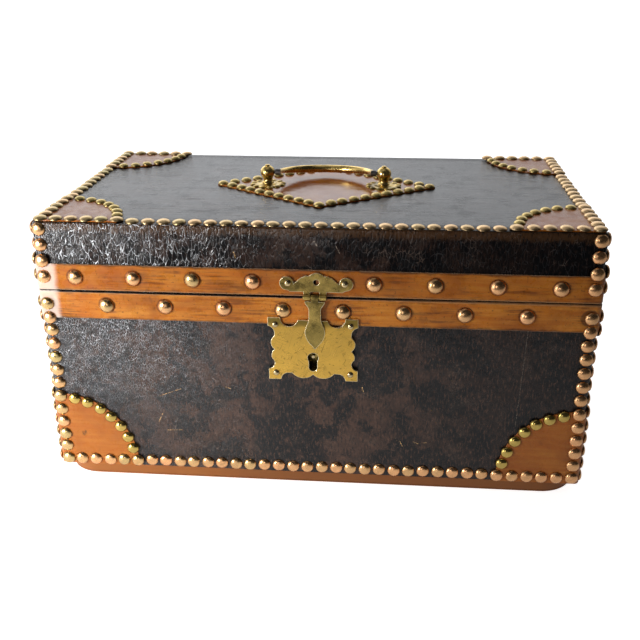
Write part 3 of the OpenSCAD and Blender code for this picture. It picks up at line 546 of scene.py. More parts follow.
def build_effects():
    """Shared effects: crackle, clouds, scratches, knife marks, strap edges and halos of grime and painted
    shadow round nails.
    """
    g, out, place, cells, wander = new_group(
        "Crackle", ("Cracks", "Lines", "Height"), Cells=300.0, Wander=0.5)
    sway = g.add("TexNoise", {"Vector": place, "Scale": g.times(cells, 0.7), "Detail": 2.0}).outputs["Color"]
    sway = g.vector("SUBTRACT", {0: sway, 1: (0.5, 0.5, 0.5)})
    sway = g.vector("SCALE", {0: sway, "Scale": g.math("DIVIDE", wander, cells)})
    swayed = g.vector("ADD", {0: place, 1: sway})
    wide, fine = (
        g.add("TexVoronoi", {"Vector": swayed, "Scale": scale}, feature="DISTANCE_TO_EDGE").outputs[0]
        for scale in (cells, g.times(cells, 2.3))
    )
    patchy = g.span(g.noise(place, g.times(cells, 0.12), 3.0, 0.6), 0.4, 0.6)
    wide_crack = g.span(wide, 0.0, 0.05, 1.0, 0.0)
    fine_crack = g.times(g.span(fine, 0.0, 0.1, 1.0, 0.0), patchy, 0.6)
    pillow = g.plus(g.span(wide, 0.0, 0.16), g.times(g.span(fine, 0.0, 0.3), patchy, 0.2))
    g.feed(out, {"Cracks": g.math("MAXIMUM", wide_crack, fine_crack), "Lines": wide_crack, "Height": pillow})

    g, out, place, patches, low, high = new_group("Clouds", ("Mask",), Patches=40.0, Low=0.4, High=0.65)
    g.feed(out, {"Mask": g.span(g.noise(place, patches, 6.0, 0.62, 0.4), low, high)})

    g, out, place, fineness, width = new_group("Scratches", ("Mask",), Fineness=60.0, Width=0.012)
    mask = 0.0
    for turn, stretch in ((0.35, 0.06), (1.9, 0.05), (2.7, 0.08)):
        inputs = {"Vector": place, "Rotation": (0.1, turn, 0.2), "Scale": (1 / stretch, 1, 1)}
        spot = g.add("Mapping", inputs, vector_type="TEXTURE").outputs[0]
        line = g.math("ABSOLUTE", g.minus(g.noise(spot, g.times(fineness, 4.0), 0.0), 0.5))
        broken = g.span(g.noise(place, g.times(fineness, 0.9 + turn * 0.2), 1.0), 0.47, 0.58)
        mask = g.math("MAXIMUM", mask, g.times(g.span(line, 0.0, width, 1.0, 0.0), broken))
    g.feed(out, {"Mask": mask})

    g, out, place, from_x, from_z, to_x, to_z, width, breaks = new_group(
        "Knife mark", ("Mask",), From_X=0.0, From_Z=0.0, To_X=0.01, To_Z=0.0, Width=0.0004, Breaks=0.85)
    x, y, z = g.xyz(place)
    run = (g.minus(to_x, from_x), g.minus(to_z, from_z))
    off = (g.minus(x, from_x), g.minus(z, from_z))
    share = g.add("Clamp", {0: g.math("DIVIDE", g.dot(off, run), g.dot(run, run))}).outputs[0]
    miss = [g.minus(off[i], g.times(share, run[i])) for i in (0, 1)]
    miss = g.math("SQRT", g.dot(miss, miss))
    miss = g.plus(miss, g.times(g.noise(place, 900.0), width, 1.6))
    line = g.span(miss, g.times(width, 0.7), g.times(width, 1.5), 1.0, 0.0)
    on_front = g.math("LESS_THAN", y, -HALF_DEPTH + 0.0006)
    broken = g.span(g.noise(place, 620.0, 2.0, 0.6), 0.4, 0.55, g.minus(1.0, breaks), 1.0)
    g.feed(out, {"Mask": g.times(line, on_front, broken)})

    g, out, place, low, high, spread = new_group("Strap edge", ("Mask",), Low=0.0, High=0.01, Spread=0.002)
    height = g.xyz(place)[2]
    nearest = g.math("MINIMUM", g.minus(height, low), g.minus(high, height))
    ragged = g.wander(place, 130.0, 4.0, 0.6, g.times(spread, 2.2))
    g.feed(out, {"Mask": g.span(g.plus(nearest, ragged), 0.0, spread, 1.0, 0.0)})

    # Rings round a row's nails, for dirt and painted shadow
    g, out, place, pitch, front_shift, side_shift, row, reach, blur = new_group(
        "Nail halo", ("Mask",),
        Pitch=0.0376, Front_shift=0.5, Side_shift=0.0, Row=0.1, Reach=0.005, Blur=0.0018)
    x, y, z = g.xyz(place)
    on_side = g.math("GREATER_THAN", g.math("ABSOLUTE", x), HALF_WIDTH - 0.0004)
    turns = g.minus(g.math("DIVIDE", g.pick(on_side, x, y), pitch), g.pick(on_side, front_shift, side_shift))
    away = (g.times(g.minus(turns, g.math("ROUND", turns)), pitch), g.minus(z, row))
    gap = g.math("SQRT", g.dot(away, away))
    g.feed(out, {"Mask": g.span(g.minus(gap, reach), 0.0, blur, 1.0, 0.0)})


def new_material(name):
    """A new material's graph and the coordinates of its object."""
    if name in bpy.data.materials:
        raise RuntimeError("material name taken: " + name)
    material = bpy.data.materials.new(name)
    material.use_nodes = True
    g = Graph(material.node_tree)
    return g, g.add("TexCoord").outputs["Object"]


# Tones of dirt, wear, and painted light and shade
GRAIN = (0.1, 0.05, 0.032, 1)
DUST = (0.17, 0.115, 0.085, 1)
WORN_RIM = (0.075, 0.034, 0.013, 1)
# Painted sheen on the black leather's front
PAINTED_SHEEN = (0.11, 0.12, 0.135, 1)
# Painted glints on the black leather's cracks
LIT_CRACK = (0.82, 0.84, 0.88, 1)
FIBRE = (0.63, 0.25, 0.035, 1)
# Painted shade for the base strip, darker towards the right
SHADED_TAN = (0.15, 0.05, 0.012, 1)
STREAK = (0.1, 0.028, 0.008, 1)
RED_STAIN = (0.3, 0.05, 0.012, 1)
# Painted highlight along the straps' cut edges
EDGE_HIGHLIGHT = (0.4, 0.27, 0.17, 1)
# Painted sheen along the seam's edges
SEAM_SHEEN = (0.6, 0.3, 0.12, 1)
# Painted shadow in the seam
SEAM_SHADOW = (0.004, 0.002, 0.002, 1)
# Painted sheen at the straps' left end
PAINTED_END_SHEEN = (0.8, 0.68, 0.6, 1)
BASE_TAN = (0.27, 0.088, 0.017, 1)
SPECK = (0.05, 0.035, 0.015, 1)
# Dirt and painted contact shade round the domes' rims
RIM_DIRT_AND_SHADE = (0.055, 0.028, 0.012, 1)
# Painted shade on the lock plate's top and the hasp tongue's lower part
SHADED_BRASS = (0.13, 0.105, 0.03, 1)
SCRATCH = (0.12, 0.08, 0.02, 1)

# Short marks that knives and keys left in the front: from x and z to x and z, width and tone
GOLD = (0.8, 0.48, 0.2, 1)
PALE = (0.4, 0.32, 0.25, 1)
BODY_MARKS = (
    (-0.1027, 0.0618, -0.0880, 0.0676, 0.00045, GOLD),
    (-0.0584, 0.0703, -0.0545, 0.0690, 0.0006, GOLD),
    (-0.1050, 0.0419, -0.1008, 0.0505, 0.0006, GOLD),
    (-0.0945, 0.0354, -0.0917, 0.0455, 0.0003, PALE),
    (-0.0992, 0.0359, -0.0896, 0.0364, 0.00045, GOLD),
    (0.0315, 0.0732, 0.0322, 0.0703, 0.00075, GOLD),
    (0.0566, 0.0347, 0.0587, 0.0309, 0.00045, GOLD),
    (0.0658, 0.0343, 0.0692, 0.0329, 0.00045, GOLD),
    (0.0718, 0.0338, 0.0744, 0.0340, 0.00045, GOLD),
    (0.1333, 0.1169, 0.1311, 0.0487, 0.000195, PALE),
)
LID_MARKS = (
    (-0.0488, 0.1639, -0.0478, 0.1600, 0.00075, GOLD),
    (0.0011, 0.1714, 0.0023, 0.1689, 0.0012, PALE),
    (0.0140, 0.1690, 0.0165, 0.1640, 0.00045, PALE),
)
PATCH_SPOT = (-0.1575, 0.0312, -0.1565, 0.0325, 0.003)


def knife_mark(g, place, from_x, from_z, to_x, to_z, width, breaks=0.85):
    """A mask of one mark in the front, broken up unless its breaks are nought."""
    return g.group(
        "Knife mark", Vector=place, From_X=from_x, From_Z=from_z, To_X=to_x, To_Z=to_z, Width=width,
        Breaks=breaks)[0]


def corner_swell(g, x, y, distance):
    """A bump that falls off near the box's upright edges, where the leather turns the corner."""
    ends = [
        g.span(g.minus(half, g.math("ABSOLUTE", along)), 0.0, 0.012)
        for half, along in ((HALF_WIDTH, x), (HALF_DEPTH, y))
    ]
    return g.bump(g.plus(*ends), 1.0, distance)


def black_leather(
        name, cells, relief, gloss, shine, browned, grain, painted_sheen, coat, cover, marks, worn_edge=None):
    """Cracked black leather, brown where it is worn, with a streaky shine on top and painted sheen and glints
    at the left of the front.
    """
    c = settings().colours
    g, place = new_material(name)
    x, y, z = g.xyz(place)
    top = g.span(z, TOP_Z - 0.0006, TOP_Z - 0.0001)
    side = g.minus(1.0, top)
    front = g.span(y, -0.06, -0.1, 0.15, 1.0)
    crackle = g.group(
        "Crackle", Vector=g.stretched(place, (1.25, 1.25, 0.5), (0, 0.25, 0)), Cells=cells, Wander=0.9)

    # Brown patches where the black has worn off, fewer at both ends
    broad, blotch = g.clouds(place, 14.0, 0.4, 0.52), g.clouds(place, 56.0, 0.44, 0.54)
    middle = g.times(g.span(x, 0.02, 0.12, 1.0, 0.3), g.span(x, -0.15, -0.08, browned * 0.55, browned))
    fleck = g.plus(g.times(g.clouds(place, 190.0, 0.5, 0.6), 0.35), 0.65)
    colour = g.mix(g.times(broad, blotch, middle, fleck), c.black, c.brown)
    if worn_edge:
        uneven = g.plus(z, g.wander(place, 160.0, 4.0, 0.65, 0.009))
        wear = g.span(uneven, worn_edge - 0.0075, worn_edge - 0.003)
        colour = g.tint(colour, WORN_RIM, wear, side, 0.8)
    fine = g.noise(g.stretched(place, (1, 1, 0.3), (0, 0.1, 0)), 850.0, 3.0, 0.6)
    colour = g.tint(colour, GRAIN, g.span(fine, 0.5, 0.7, 0.0, grain))
    colour = g.tint(colour, c.black, g.span(fine, 0.48, 0.34, 0.0, 0.8))
    colour = g.tint(colour, DUST, crackle["Cracks"], g.clouds(place, 70.0, 0.52, 0.66), 0.5)

    # Painted sheen and painted glints along the cracks at the left of the front
    sheen_patches = g.span(g.noise(place, 75.0, 4.0, 0.6), 0.38, 0.62)
    colour = g.tint(colour, PAINTED_SHEEN, side, front, g.span(x, -0.07, -0.165), sheen_patches, painted_sheen)
    # Painted glints: pale lines along the cracks, strongest at the left of the front and higher up
    lit = g.times(crackle["Lines"], side, g.span(x, -0.035, -0.135, 0.03, 1.0))
    covered = g.span(g.noise(place, 210.0, 3.0, 0.6), *cover)
    colour = g.tint(colour, LIT_CRACK, lit, covered, front, g.span(z, 0.03, 0.11, 0.1, 1.0), shine)
    for *mark, tone in marks:
        colour = g.tint(colour, tone, knife_mark(g, place, *mark))

    lines = g.noise(g.stretched(place, (0.06, 1, 1)), 520.0, 5.0, 0.7)
    smudges = g.noise(place, 60.0, 4.0, 0.6)
    side_rough = g.span(g.noise(place, 90.0, 4.0, 0.65), 0.3, 0.75, gloss, gloss + 0.16)
    top_rough = g.plus(g.span(lines, 0.3, 0.75, 0.12, 0.3), g.span(smudges, 0.45, 0.7, 0.0, 0.12))
    height = g.plus(crackle["Height"], g.times(g.noise(place, 1500.0), 0.05))
    height = g.times(height, g.span(top, 0.0, 1.0, 1.0, 0.1), g.span(x, -0.02, -0.12, 0.09, 1.0))
    height = g.plus(height, g.times(lines, top, 0.55))
    swell = g.bump(g.noise(place, 42.0, 3.0, 0.55), 0.5, 0.0016, corner_swell(g, x, y, 0.0013))
    g.surface(
        Base_Color=colour, Roughness=g.pick(top, side_rough, top_rough),
        Normal=g.bump(height, 0.85, relief, swell), Specular_IOR_Level=0.38,
        Coat_Weight=g.times(side, front, g.span(x, 0.0, -0.1), coat), Coat_Roughness=0.25)


def worn_strap(g, place, colour, low, high, front_shift, row, red):
    """A strap's colour with its streaks, stains, edges and grime, painted shadow in the seam and round the
    nails, painted sheen along the seam and at the left end and painted highlights on the cut edges, and masks
    of its creases and dents.
    """
    c, n = settings().colours, settings().nails
    x, y, z = g.xyz(place)

    def edge(spread):
        return g.group("Strap edge", Vector=place, Low=low, High=high, Spread=spread)[0]

    def halo(blur):
        return g.group(
            "Nail halo", Vector=place, Pitch=n.band_pitch, Front_shift=front_shift,
            Side_shift=0.5 - front_shift, Row=row, Reach=n.band_head / 2, Blur=blur)[0]

    streaks = g.span(g.noise(g.stretched(place, (0.05, 0.05, 1)), 650.0, 4.0, 0.6), 0.5, 0.62)
    colour = g.tint(colour, STREAK, streaks, g.clouds(place, 38.0, 0.42, 0.6), 0.65)
    colour = g.tint(colour, c.grime, g.span(g.noise(place, 620.0), 0.64, 0.7), 0.5)
    colour = g.tint(colour, RED_STAIN, g.span(x, -0.1, -0.15), g.clouds(place, 60.0, 0.4, 0.6), red)
    colour = g.tint(colour, c.grime, edge(0.002), 0.7)
    # Painted highlight along the straps' cut edges
    colour = g.tint(colour, EDGE_HIGHLIGHT, edge(0.0005), 0.6)
    # Dirt and painted shadow round each strap nail
    colour = g.tint(colour, c.grime, halo(0.0009), 0.6)
    from_seam = g.math("ABSOLUTE", g.minus(z, SEAM_Z))
    # Painted sheen along the seam's edges
    colour = g.tint(colour, SEAM_SHEEN, g.span(from_seam, 0.0018, 0.0011, 0.0, 0.45))
    # Painted shadow in the seam, fainter towards the right
    colour = g.tint(colour, SEAM_SHADOW, g.span(from_seam, 0.001, 0.0006), g.span(x, 0.02, 0.13, 1.0, 0.4))
    # Painted sheen at the straps' left end
    wavy = g.plus(x, g.wander(place, 120.0, 4.0, 0.6, 0.005))
    colour = g.tint(colour, PAINTED_END_SHEEN, g.span(wavy, -0.1605, -0.165), g.span(y, -0.085, -0.095), 0.55)
    return colour, edge(0.0035), halo(0.0025)


def tan_leather(name, aged, polish=(0.22, 0.42), strap=None, spot=None, tone=None):
    """Polished tan leather with fibres, stains and pores, aged towards dark tan or a tone of its own."""
    c = settings().colours
    g, place = new_material(name)
    x, y, z = g.xyz(place)
    fibres = g.noise(g.stretched(place, (0.07, 0.07, 1)), 420.0, 5.0, 0.65, 0.3)
    pores = g.noise(place, 1300.0)
    colour = g.mix(g.span(fibres, 0.35, 0.7), c.tan, FIBRE)
    colour = g.tint(colour, c.tan_dark, g.clouds(place, 26.0, 0.38, 0.7), 0.65)
    colour = g.tint(colour, c.grime, g.clouds(place, 95.0, 0.6, 0.72), 0.3)
    colour = g.tint(colour, tone or c.tan_dark, aged)
    if tone:
        # Painted shade: darker towards the right
        colour = g.tint(colour, SHADED_TAN, g.span(x, -0.13, 0.0, 0.0, 0.55))
    colour = g.tint(colour, c.tan_dark, g.span(pores, 0.6, 0.75, 0.0, 0.35))
    height = g.plus(g.times(fibres, 0.5), g.times(pores, 0.35))
    swell = corner_swell(g, x, y, 0.0012)
    if strap:
        colour, crease, dent = worn_strap(g, place, colour, *strap)
        swell = g.bump(crease, -1.0, 0.0007, swell)
        height = g.minus(height, g.times(dent, 1.2))
    if spot:
        colour = g.tint(colour, c.grime, knife_mark(g, place, *spot, breaks=0.0), 0.85)
    swell = g.bump(g.noise(place, 60.0), 0.35, 0.0009, swell)
    g.surface(
        Base_Color=colour, Roughness=g.span(g.noise(place, 160.0, 4.0, 0.6), 0.3, 0.75, *polish),
        Normal=g.bump(height, 0.35, 0.00025, swell), Specular_IOR_Level=0.3)


def metal(name, bright, dull, roughness, tarnish, scratched=0.0, grain=260.0, second=None, shade=None):
    """Metal with tarnish in clouds, dirt and painted shade round a dome's rim and fine scratches.

    A second tone varies from nail to nail. A painted shade darkens it from one height to another with its
    strength.
    """
    g, place = new_material(name)
    crown, cast = (g.add("Attribute", attribute_name=key).outputs["Fac"] for key in ("crown", "cast"))
    colour = g.mix(cast, bright, second or bright)
    colour = g.tint(colour, dull, g.clouds(place, grain, 0.38, 0.75), tarnish)
    colour = g.tint(colour, SPECK, g.clouds(place, grain * 4.0, 0.62, 0.72), tarnish * 0.8)
    # Dirt and painted contact shade round each dome's rim
    rim = g.plus(crown, g.wander(place, 420.0, 3.0, 0.6, 0.35))
    colour = g.tint(colour, RIM_DIRT_AND_SHADE, g.span(rim, 0.86, 1.08, 0.0, 0.8))
    # Painted shade across a band of heights
    if shade:
        start, end, strength = shade
        uneven = g.plus(g.xyz(place)[2], g.wander(place, 220.0, 3.0, 0.6, 0.004))
        colour = g.tint(colour, SHADED_BRASS, g.span(uneven, start, end, 0.0, strength))
    rough = g.span(g.noise(place, grain * 1.6, 4.0, 0.65), 0.3, 0.75, *roughness)
    height = g.noise(place, grain * 2.0, 4.0, 0.6)
    if scratched:
        scratches = g.group("Scratches", Vector=place, Fineness=120.0, Width=0.02)[0]
        colour = g.tint(colour, SCRATCH, scratches, scratched)
        rough = g.plus(rough, g.times(scratches, 0.2))
        height = g.minus(height, g.times(scratches, 0.8))
    g.surface(Base_Color=colour, Roughness=rough, Metallic=1.0, Normal=g.bump(height, 0.15, 0.0001))


def wood(name, along):
    """Pale board with its grain along one axis."""
    g, place = new_material(name)
    spot = g.stretched(place, [0.07 if axis == along else 1.0 for axis in "XYZ"])
    rings = g.noise(spot, 190.0, 4.0, 0.6, 1.2)
    fibre = g.noise(spot, 1600.0, 3.0, 0.6)
    colour = g.mix(g.span(rings, 0.35, 0.7), settings().colours.wood, (0.27, 0.13, 0.05, 1))
    colour = g.tint(colour, (0.2, 0.09, 0.035, 1), g.span(fibre, 0.55, 0.75, 0.0, 0.5))
    height = g.plus(g.times(rings, 0.4), fibre)
    g.surface(
        Base_Color=colour, Roughness=g.span(fibre, 0.3, 0.7, 0.5, 0.72), Normal=g.bump(height, 0.25, 0.0003))


def cloth(name):
    """Plain-woven lining, a little faded in clouds."""
    g, place = new_material(name)
    thread = {"Vector": place, "Scale": 420.0, "Distortion": 0.6, "Detail": 1.0}
    x, y, z = (g.add("TexWave", thread, bands_direction=axis).outputs["Fac"] for axis in "XYZ")
    weave = g.times(g.plus(x, g.plus(z, y)), 0.33)
    faded = g.clouds(place, 14.0, 0.35, 0.75)
    colour = g.mix(g.times(faded, 0.5), settings().colours.lining, (0.24, 0.045, 0.04, 1))
    colour = g.tint(colour, (0.05, 0.006, 0.008, 1), g.span(weave, 0.3, 0.6, 0.35, 0.0))
    g.surface(
        Base_Color=colour, Roughness=g.span(weave, 0.2, 0.8, 0.75, 0.95), Normal=g.bump(weave, 0.5, 0.0003),
        Sheen_Weight=0.3)


class DOCUMENTBOX_OT_finishes(bpy.types.Operator):
    """Make the shared effects and every material of the box"""

    bl_idname = "document_box.finishes"
    bl_label = "Finishes"

    def execute(self, context):
        c, n = settings().colours, settings().nails
        build_effects()
        black_leather(
            "black_leather_body", cells=820.0, relief=0.0005, gloss=0.2, shine=0.9, browned=1.0, grain=0.8,
            painted_sheen=0.2, coat=0.35, cover=(0.32, 0.6), marks=BODY_MARKS)
        black_leather(
            "black_leather_lid", cells=330.0, relief=0.0006, gloss=0.12, shine=1.0, browned=0.45, grain=0.2,
            painted_sheen=0.0, coat=0.1, cover=(0.4, 0.58), marks=LID_MARKS, worn_edge=TOP_Z)
        body_row, lid_row = SEAM_Z - n.band_offset, LID_LOW.z + n.band_offset
        tan_leather("tan_strap_body", 0.0, strap=(STRAP_LOW.z, STRAP_HIGH.z, 0.5, body_row, 0.2))
        tan_leather("tan_strap_lid", 0.25, strap=(LID_STRAP_LOW.z, LID_STRAP_HIGH.z, 0.0, lid_row, 0.6))
        tan_leather("tan_patch", 0.5, spot=PATCH_SPOT)
        tan_leather("tan_base", 0.85, (0.35, 0.5), tone=BASE_TAN)
        tan_leather("tan_diamond", 0.5, (0.08, 0.2))
        metal("nail_copper", c.copper, (0.42, 0.24, 0.11, 1), (0.2, 0.36), 0.5, second=(0.55, 0.42, 0.18, 1))
        metal("nail_gold", c.accent, (0.3, 0.2, 0.05, 1), (0.14, 0.28), 0.5, second=(0.45, 0.33, 0.09, 1))
        metal(
            "top_nail_copper", (0.74, 0.5, 0.27, 1), (0.4, 0.26, 0.13, 1), (0.32, 0.48), 0.5,
            second=(0.5, 0.42, 0.2, 1))
        metal(
            "top_nail_gold", (0.64, 0.48, 0.19, 1), (0.32, 0.22, 0.07, 1), (0.32, 0.48), 0.5,
            second=(0.5, 0.39, 0.15, 1))
        metal(
            "lock_brass", c.plate, (0.42, 0.27, 0.07, 1), (0.24, 0.4), 0.4, 0.7, 60.0,
            shade=(STRAP_LOW.z - 0.002, STRAP_LOW.z + 0.002, 0.75))
        metal(
            "hasp_brass", c.old_brass, (0.05, 0.04, 0.016, 1), (0.22, 0.42), 1.0, 0.6, 85.0,
            shade=(SEAM_Z - 0.012, SEAM_Z - 0.022, 0.55))
        metal("handle_brass", (0.78, 0.55, 0.19, 1), (0.2, 0.13, 0.035, 1), (0.17, 0.32), 0.7, 0.2, 140.0)
        metal("rubbed_brass", (0.9, 0.78, 0.5, 1), (0.4, 0.3, 0.14, 1), (0.25, 0.4), 0.4)
        metal("nail_steel", (0.55, 0.43, 0.23, 1), (0.24, 0.19, 0.1, 1), (0.16, 0.3), 0.6)
        metal("works_iron", (0.13, 0.12, 0.115, 1), (0.05, 0.035, 0.03, 1), (0.4, 0.6), 0.6, 0.2, 120.0)
        wood("wood_x", "X")
        wood("wood_y", "Y")
        cloth("red_cloth")
        return {"FINISHED"}


class DOCUMENTBOX_OT_hides(bpy.types.Operator):
    """Cover the body and the lid in black leather, with the rims' bevels and the cuts for hinges and lock"""

    bl_idname = "document_box.hides"
    bl_label = "Black leather"

    def execute(self, context):
        s = settings().hide
        body = shell("body_hide", BODY_LOW, BODY_HIGH, s.leather, s.upright_round)
        bevel_back(body, -1)
        clear_hinges(body)
        clear_lock(body)
        smooth_over(body)
        dress(body, "box", "body_leather", "black_leather_body")
        lid = shell("lid_hide", LID_LOW, LID_HIGH, s.leather, s.upright_round, 1, s.top_round)
        bevel_back(lid, 1)
        clear_hinges(lid)
        smooth_over(lid)
        dress(lid, "lid", "lid_leather", "black_leather_lid")
        return {"FINISHED"}


class DOCUMENTBOX_OT_straps(bpy.types.Operator):
    """Lay the tan straps along both sides of the seam"""

    bl_idname = "document_box.straps"
    bl_label = "Tan straps"

    def execute(self, context):
        s = settings().hide
        corner = s.upright_round + s.strap
        for name, low, high, side, body, node, finish in (
            ("body_strap", STRAP_LOW, STRAP_HIGH, -1, "box", "body_band", "tan_strap_body"),
            ("lid_strap", LID_STRAP_LOW, LID_STRAP_HIGH, 1, "lid", "lid_band", "tan_strap_lid"),
        ):
            strap = shell(name, low, high, s.strap, corner)
            bevel_back(strap, side)
            if side < 0:
                clear_lock(strap)
            else:
                z = LID_LOW.z + HASP_HOLE_RISE
                drill(strap, (0, -HALF_DEPTH - CUTTER_OUT, z), (0, -HALF_DEPTH + 0.0001, z), HASP_HOLE)
            clear_hinges(strap)
            soften(strap, s.strap_round, 60, 3)
            dress(strap, body, node, finish)
        return {"FINISHED"}


class DOCUMENTBOX_OT_patches(bpy.types.Operator):
    """Fit the tan patches over the corners and under the handle"""

    bl_idname = "document_box.patches"
    bl_label = "Tan patches"

    def execute(self, context):
        round_over = settings().hide.top_round
        for name, node, body, finish in (
            ("body_corner_guards", "body_corner_patches", "box", "tan_patch"),
            ("lid_corner_guards", "top_corner_patches", "lid", "tan_patch"),
            ("handle_diamond", "diamond_patch", "lid", "tan_diamond"),
        ):
            patch = from_frame(name, node)
            if node == "top_corner_patches":
                x, y = HALF_WIDTH - round_over, HALF_DEPTH - round_over
                cut(patch, block("cutter", (-x, -y, TOP_Z - 0.001), (x, y, TOP_Z + 0.003)), "INTERSECT")
            soften(patch, PATCH_ROUND, 50)
            dress(patch, body, node, finish)
        return {"FINISHED"}


class DOCUMENTBOX_OT_base(bpy.types.Operator):
    """Make the rounded base strip and the sheet under the box"""

    bl_idname = "document_box.base"
    bl_label = "Base"

    def execute(self, context):
        s = settings().hide
        segments = 14
        strip = shell("base_strip", *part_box("base_edging"), s.leather, s.base_round, segments=segments)
        soften(strip, BASE_EDGE_ROUND, 60)
        dress(strip, "box", "base_edging", "tan_base")
        sheet = block("base_underside", *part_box("base_sheet"))
        round_edges(sheet, upright, s.base_round, segments)
        soften(sheet, SHEET_ROUND, 60)
        dress(sheet, "box", "base_sheet", "tan_base")
        return {"FINISHED"}


class DOCUMENTBOX_OT_linings(bpy.types.Operator):
    """Line the body and the lid with cloth that rounds its corners"""

    bl_idname = "document_box.linings"
    bl_label = "Linings"

    def execute(self, context):
        s = settings().hide
        for name, node, body, closed in (
            ("body_cloth", "body_lining", "box", -1),
            ("lid_cloth", "lid_lining", "lid", 1),
        ):
            piece = shell(name, *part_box(node), s.lining, s.lining_corner, closed, s.lining_corner * 0.7)
            smooth_over(piece)
            dress(piece, body, node, "red_cloth")
        return {"FINISHED"}


def on_wall(side, u, z, out=0.0):
    reach = HALF_DEPTH if side % 2 == 0 else HALF_WIDTH
    place = Matrix.Rotation(math.radians(90 * side), 4, "Z") @ Matrix.Translation((u, -reach - out, z))
    return place @ Matrix.Rotation(math.radians(90), 4, "X")


def on_top(x, y, out=0.0):
    return Matrix.Translation((x, y, TOP_Z + out))


def dome(name, head, rise):
    """Domed head with a tight rim, its foot at zero."""
    r = head / 2
    profile = [(r * 0.9, -0.0003), (r, 0.0)] + [(r * across, rise * up) for across, up in DOME]
    piece = turned(name, profile, sides=14)
    crown = piece.data.attributes.new("crown", "FLOAT", "POINT")
    for vert, share in zip(piece.data.vertices, crown.data):
        share.value = 1.0 if vert.co.z < rise * 0.1 else vert.co.xy.length / r
    return piece


def set_by_hand(place, hand):
    """A nail's place, with the stray, lean and spin that a hand gives it."""
    n = settings().nails
    lean = Matrix.Rotation(hand.uniform(-n.lean, n.lean), 4, "X")
    lean = lean @ Matrix.Rotation(hand.uniform(-n.lean, n.lean), 4, "Y")
    across, along = hand.uniform(-n.stray, n.stray), hand.uniform(-n.stray, n.stray)
    stray = Matrix.Translation((across, along, hand.uniform(-n.sink, 0)))
    return place @ stray @ lean @ Matrix.Rotation(hand.uniform(0, FULL_SPIN), 4, "Z")


def small_nails(name, node, body, head, rise, spots, out):
    """Small domes at spots of the front, as far out of it as their plate's face."""
    model = dome(name + "_model", head, rise)
    heads = copies(name, model, [on_wall(FRONT, x, z, out) for x, z in spots])
    bpy.data.objects.remove(model)
    dress(heads, body, node, "nail_steel")


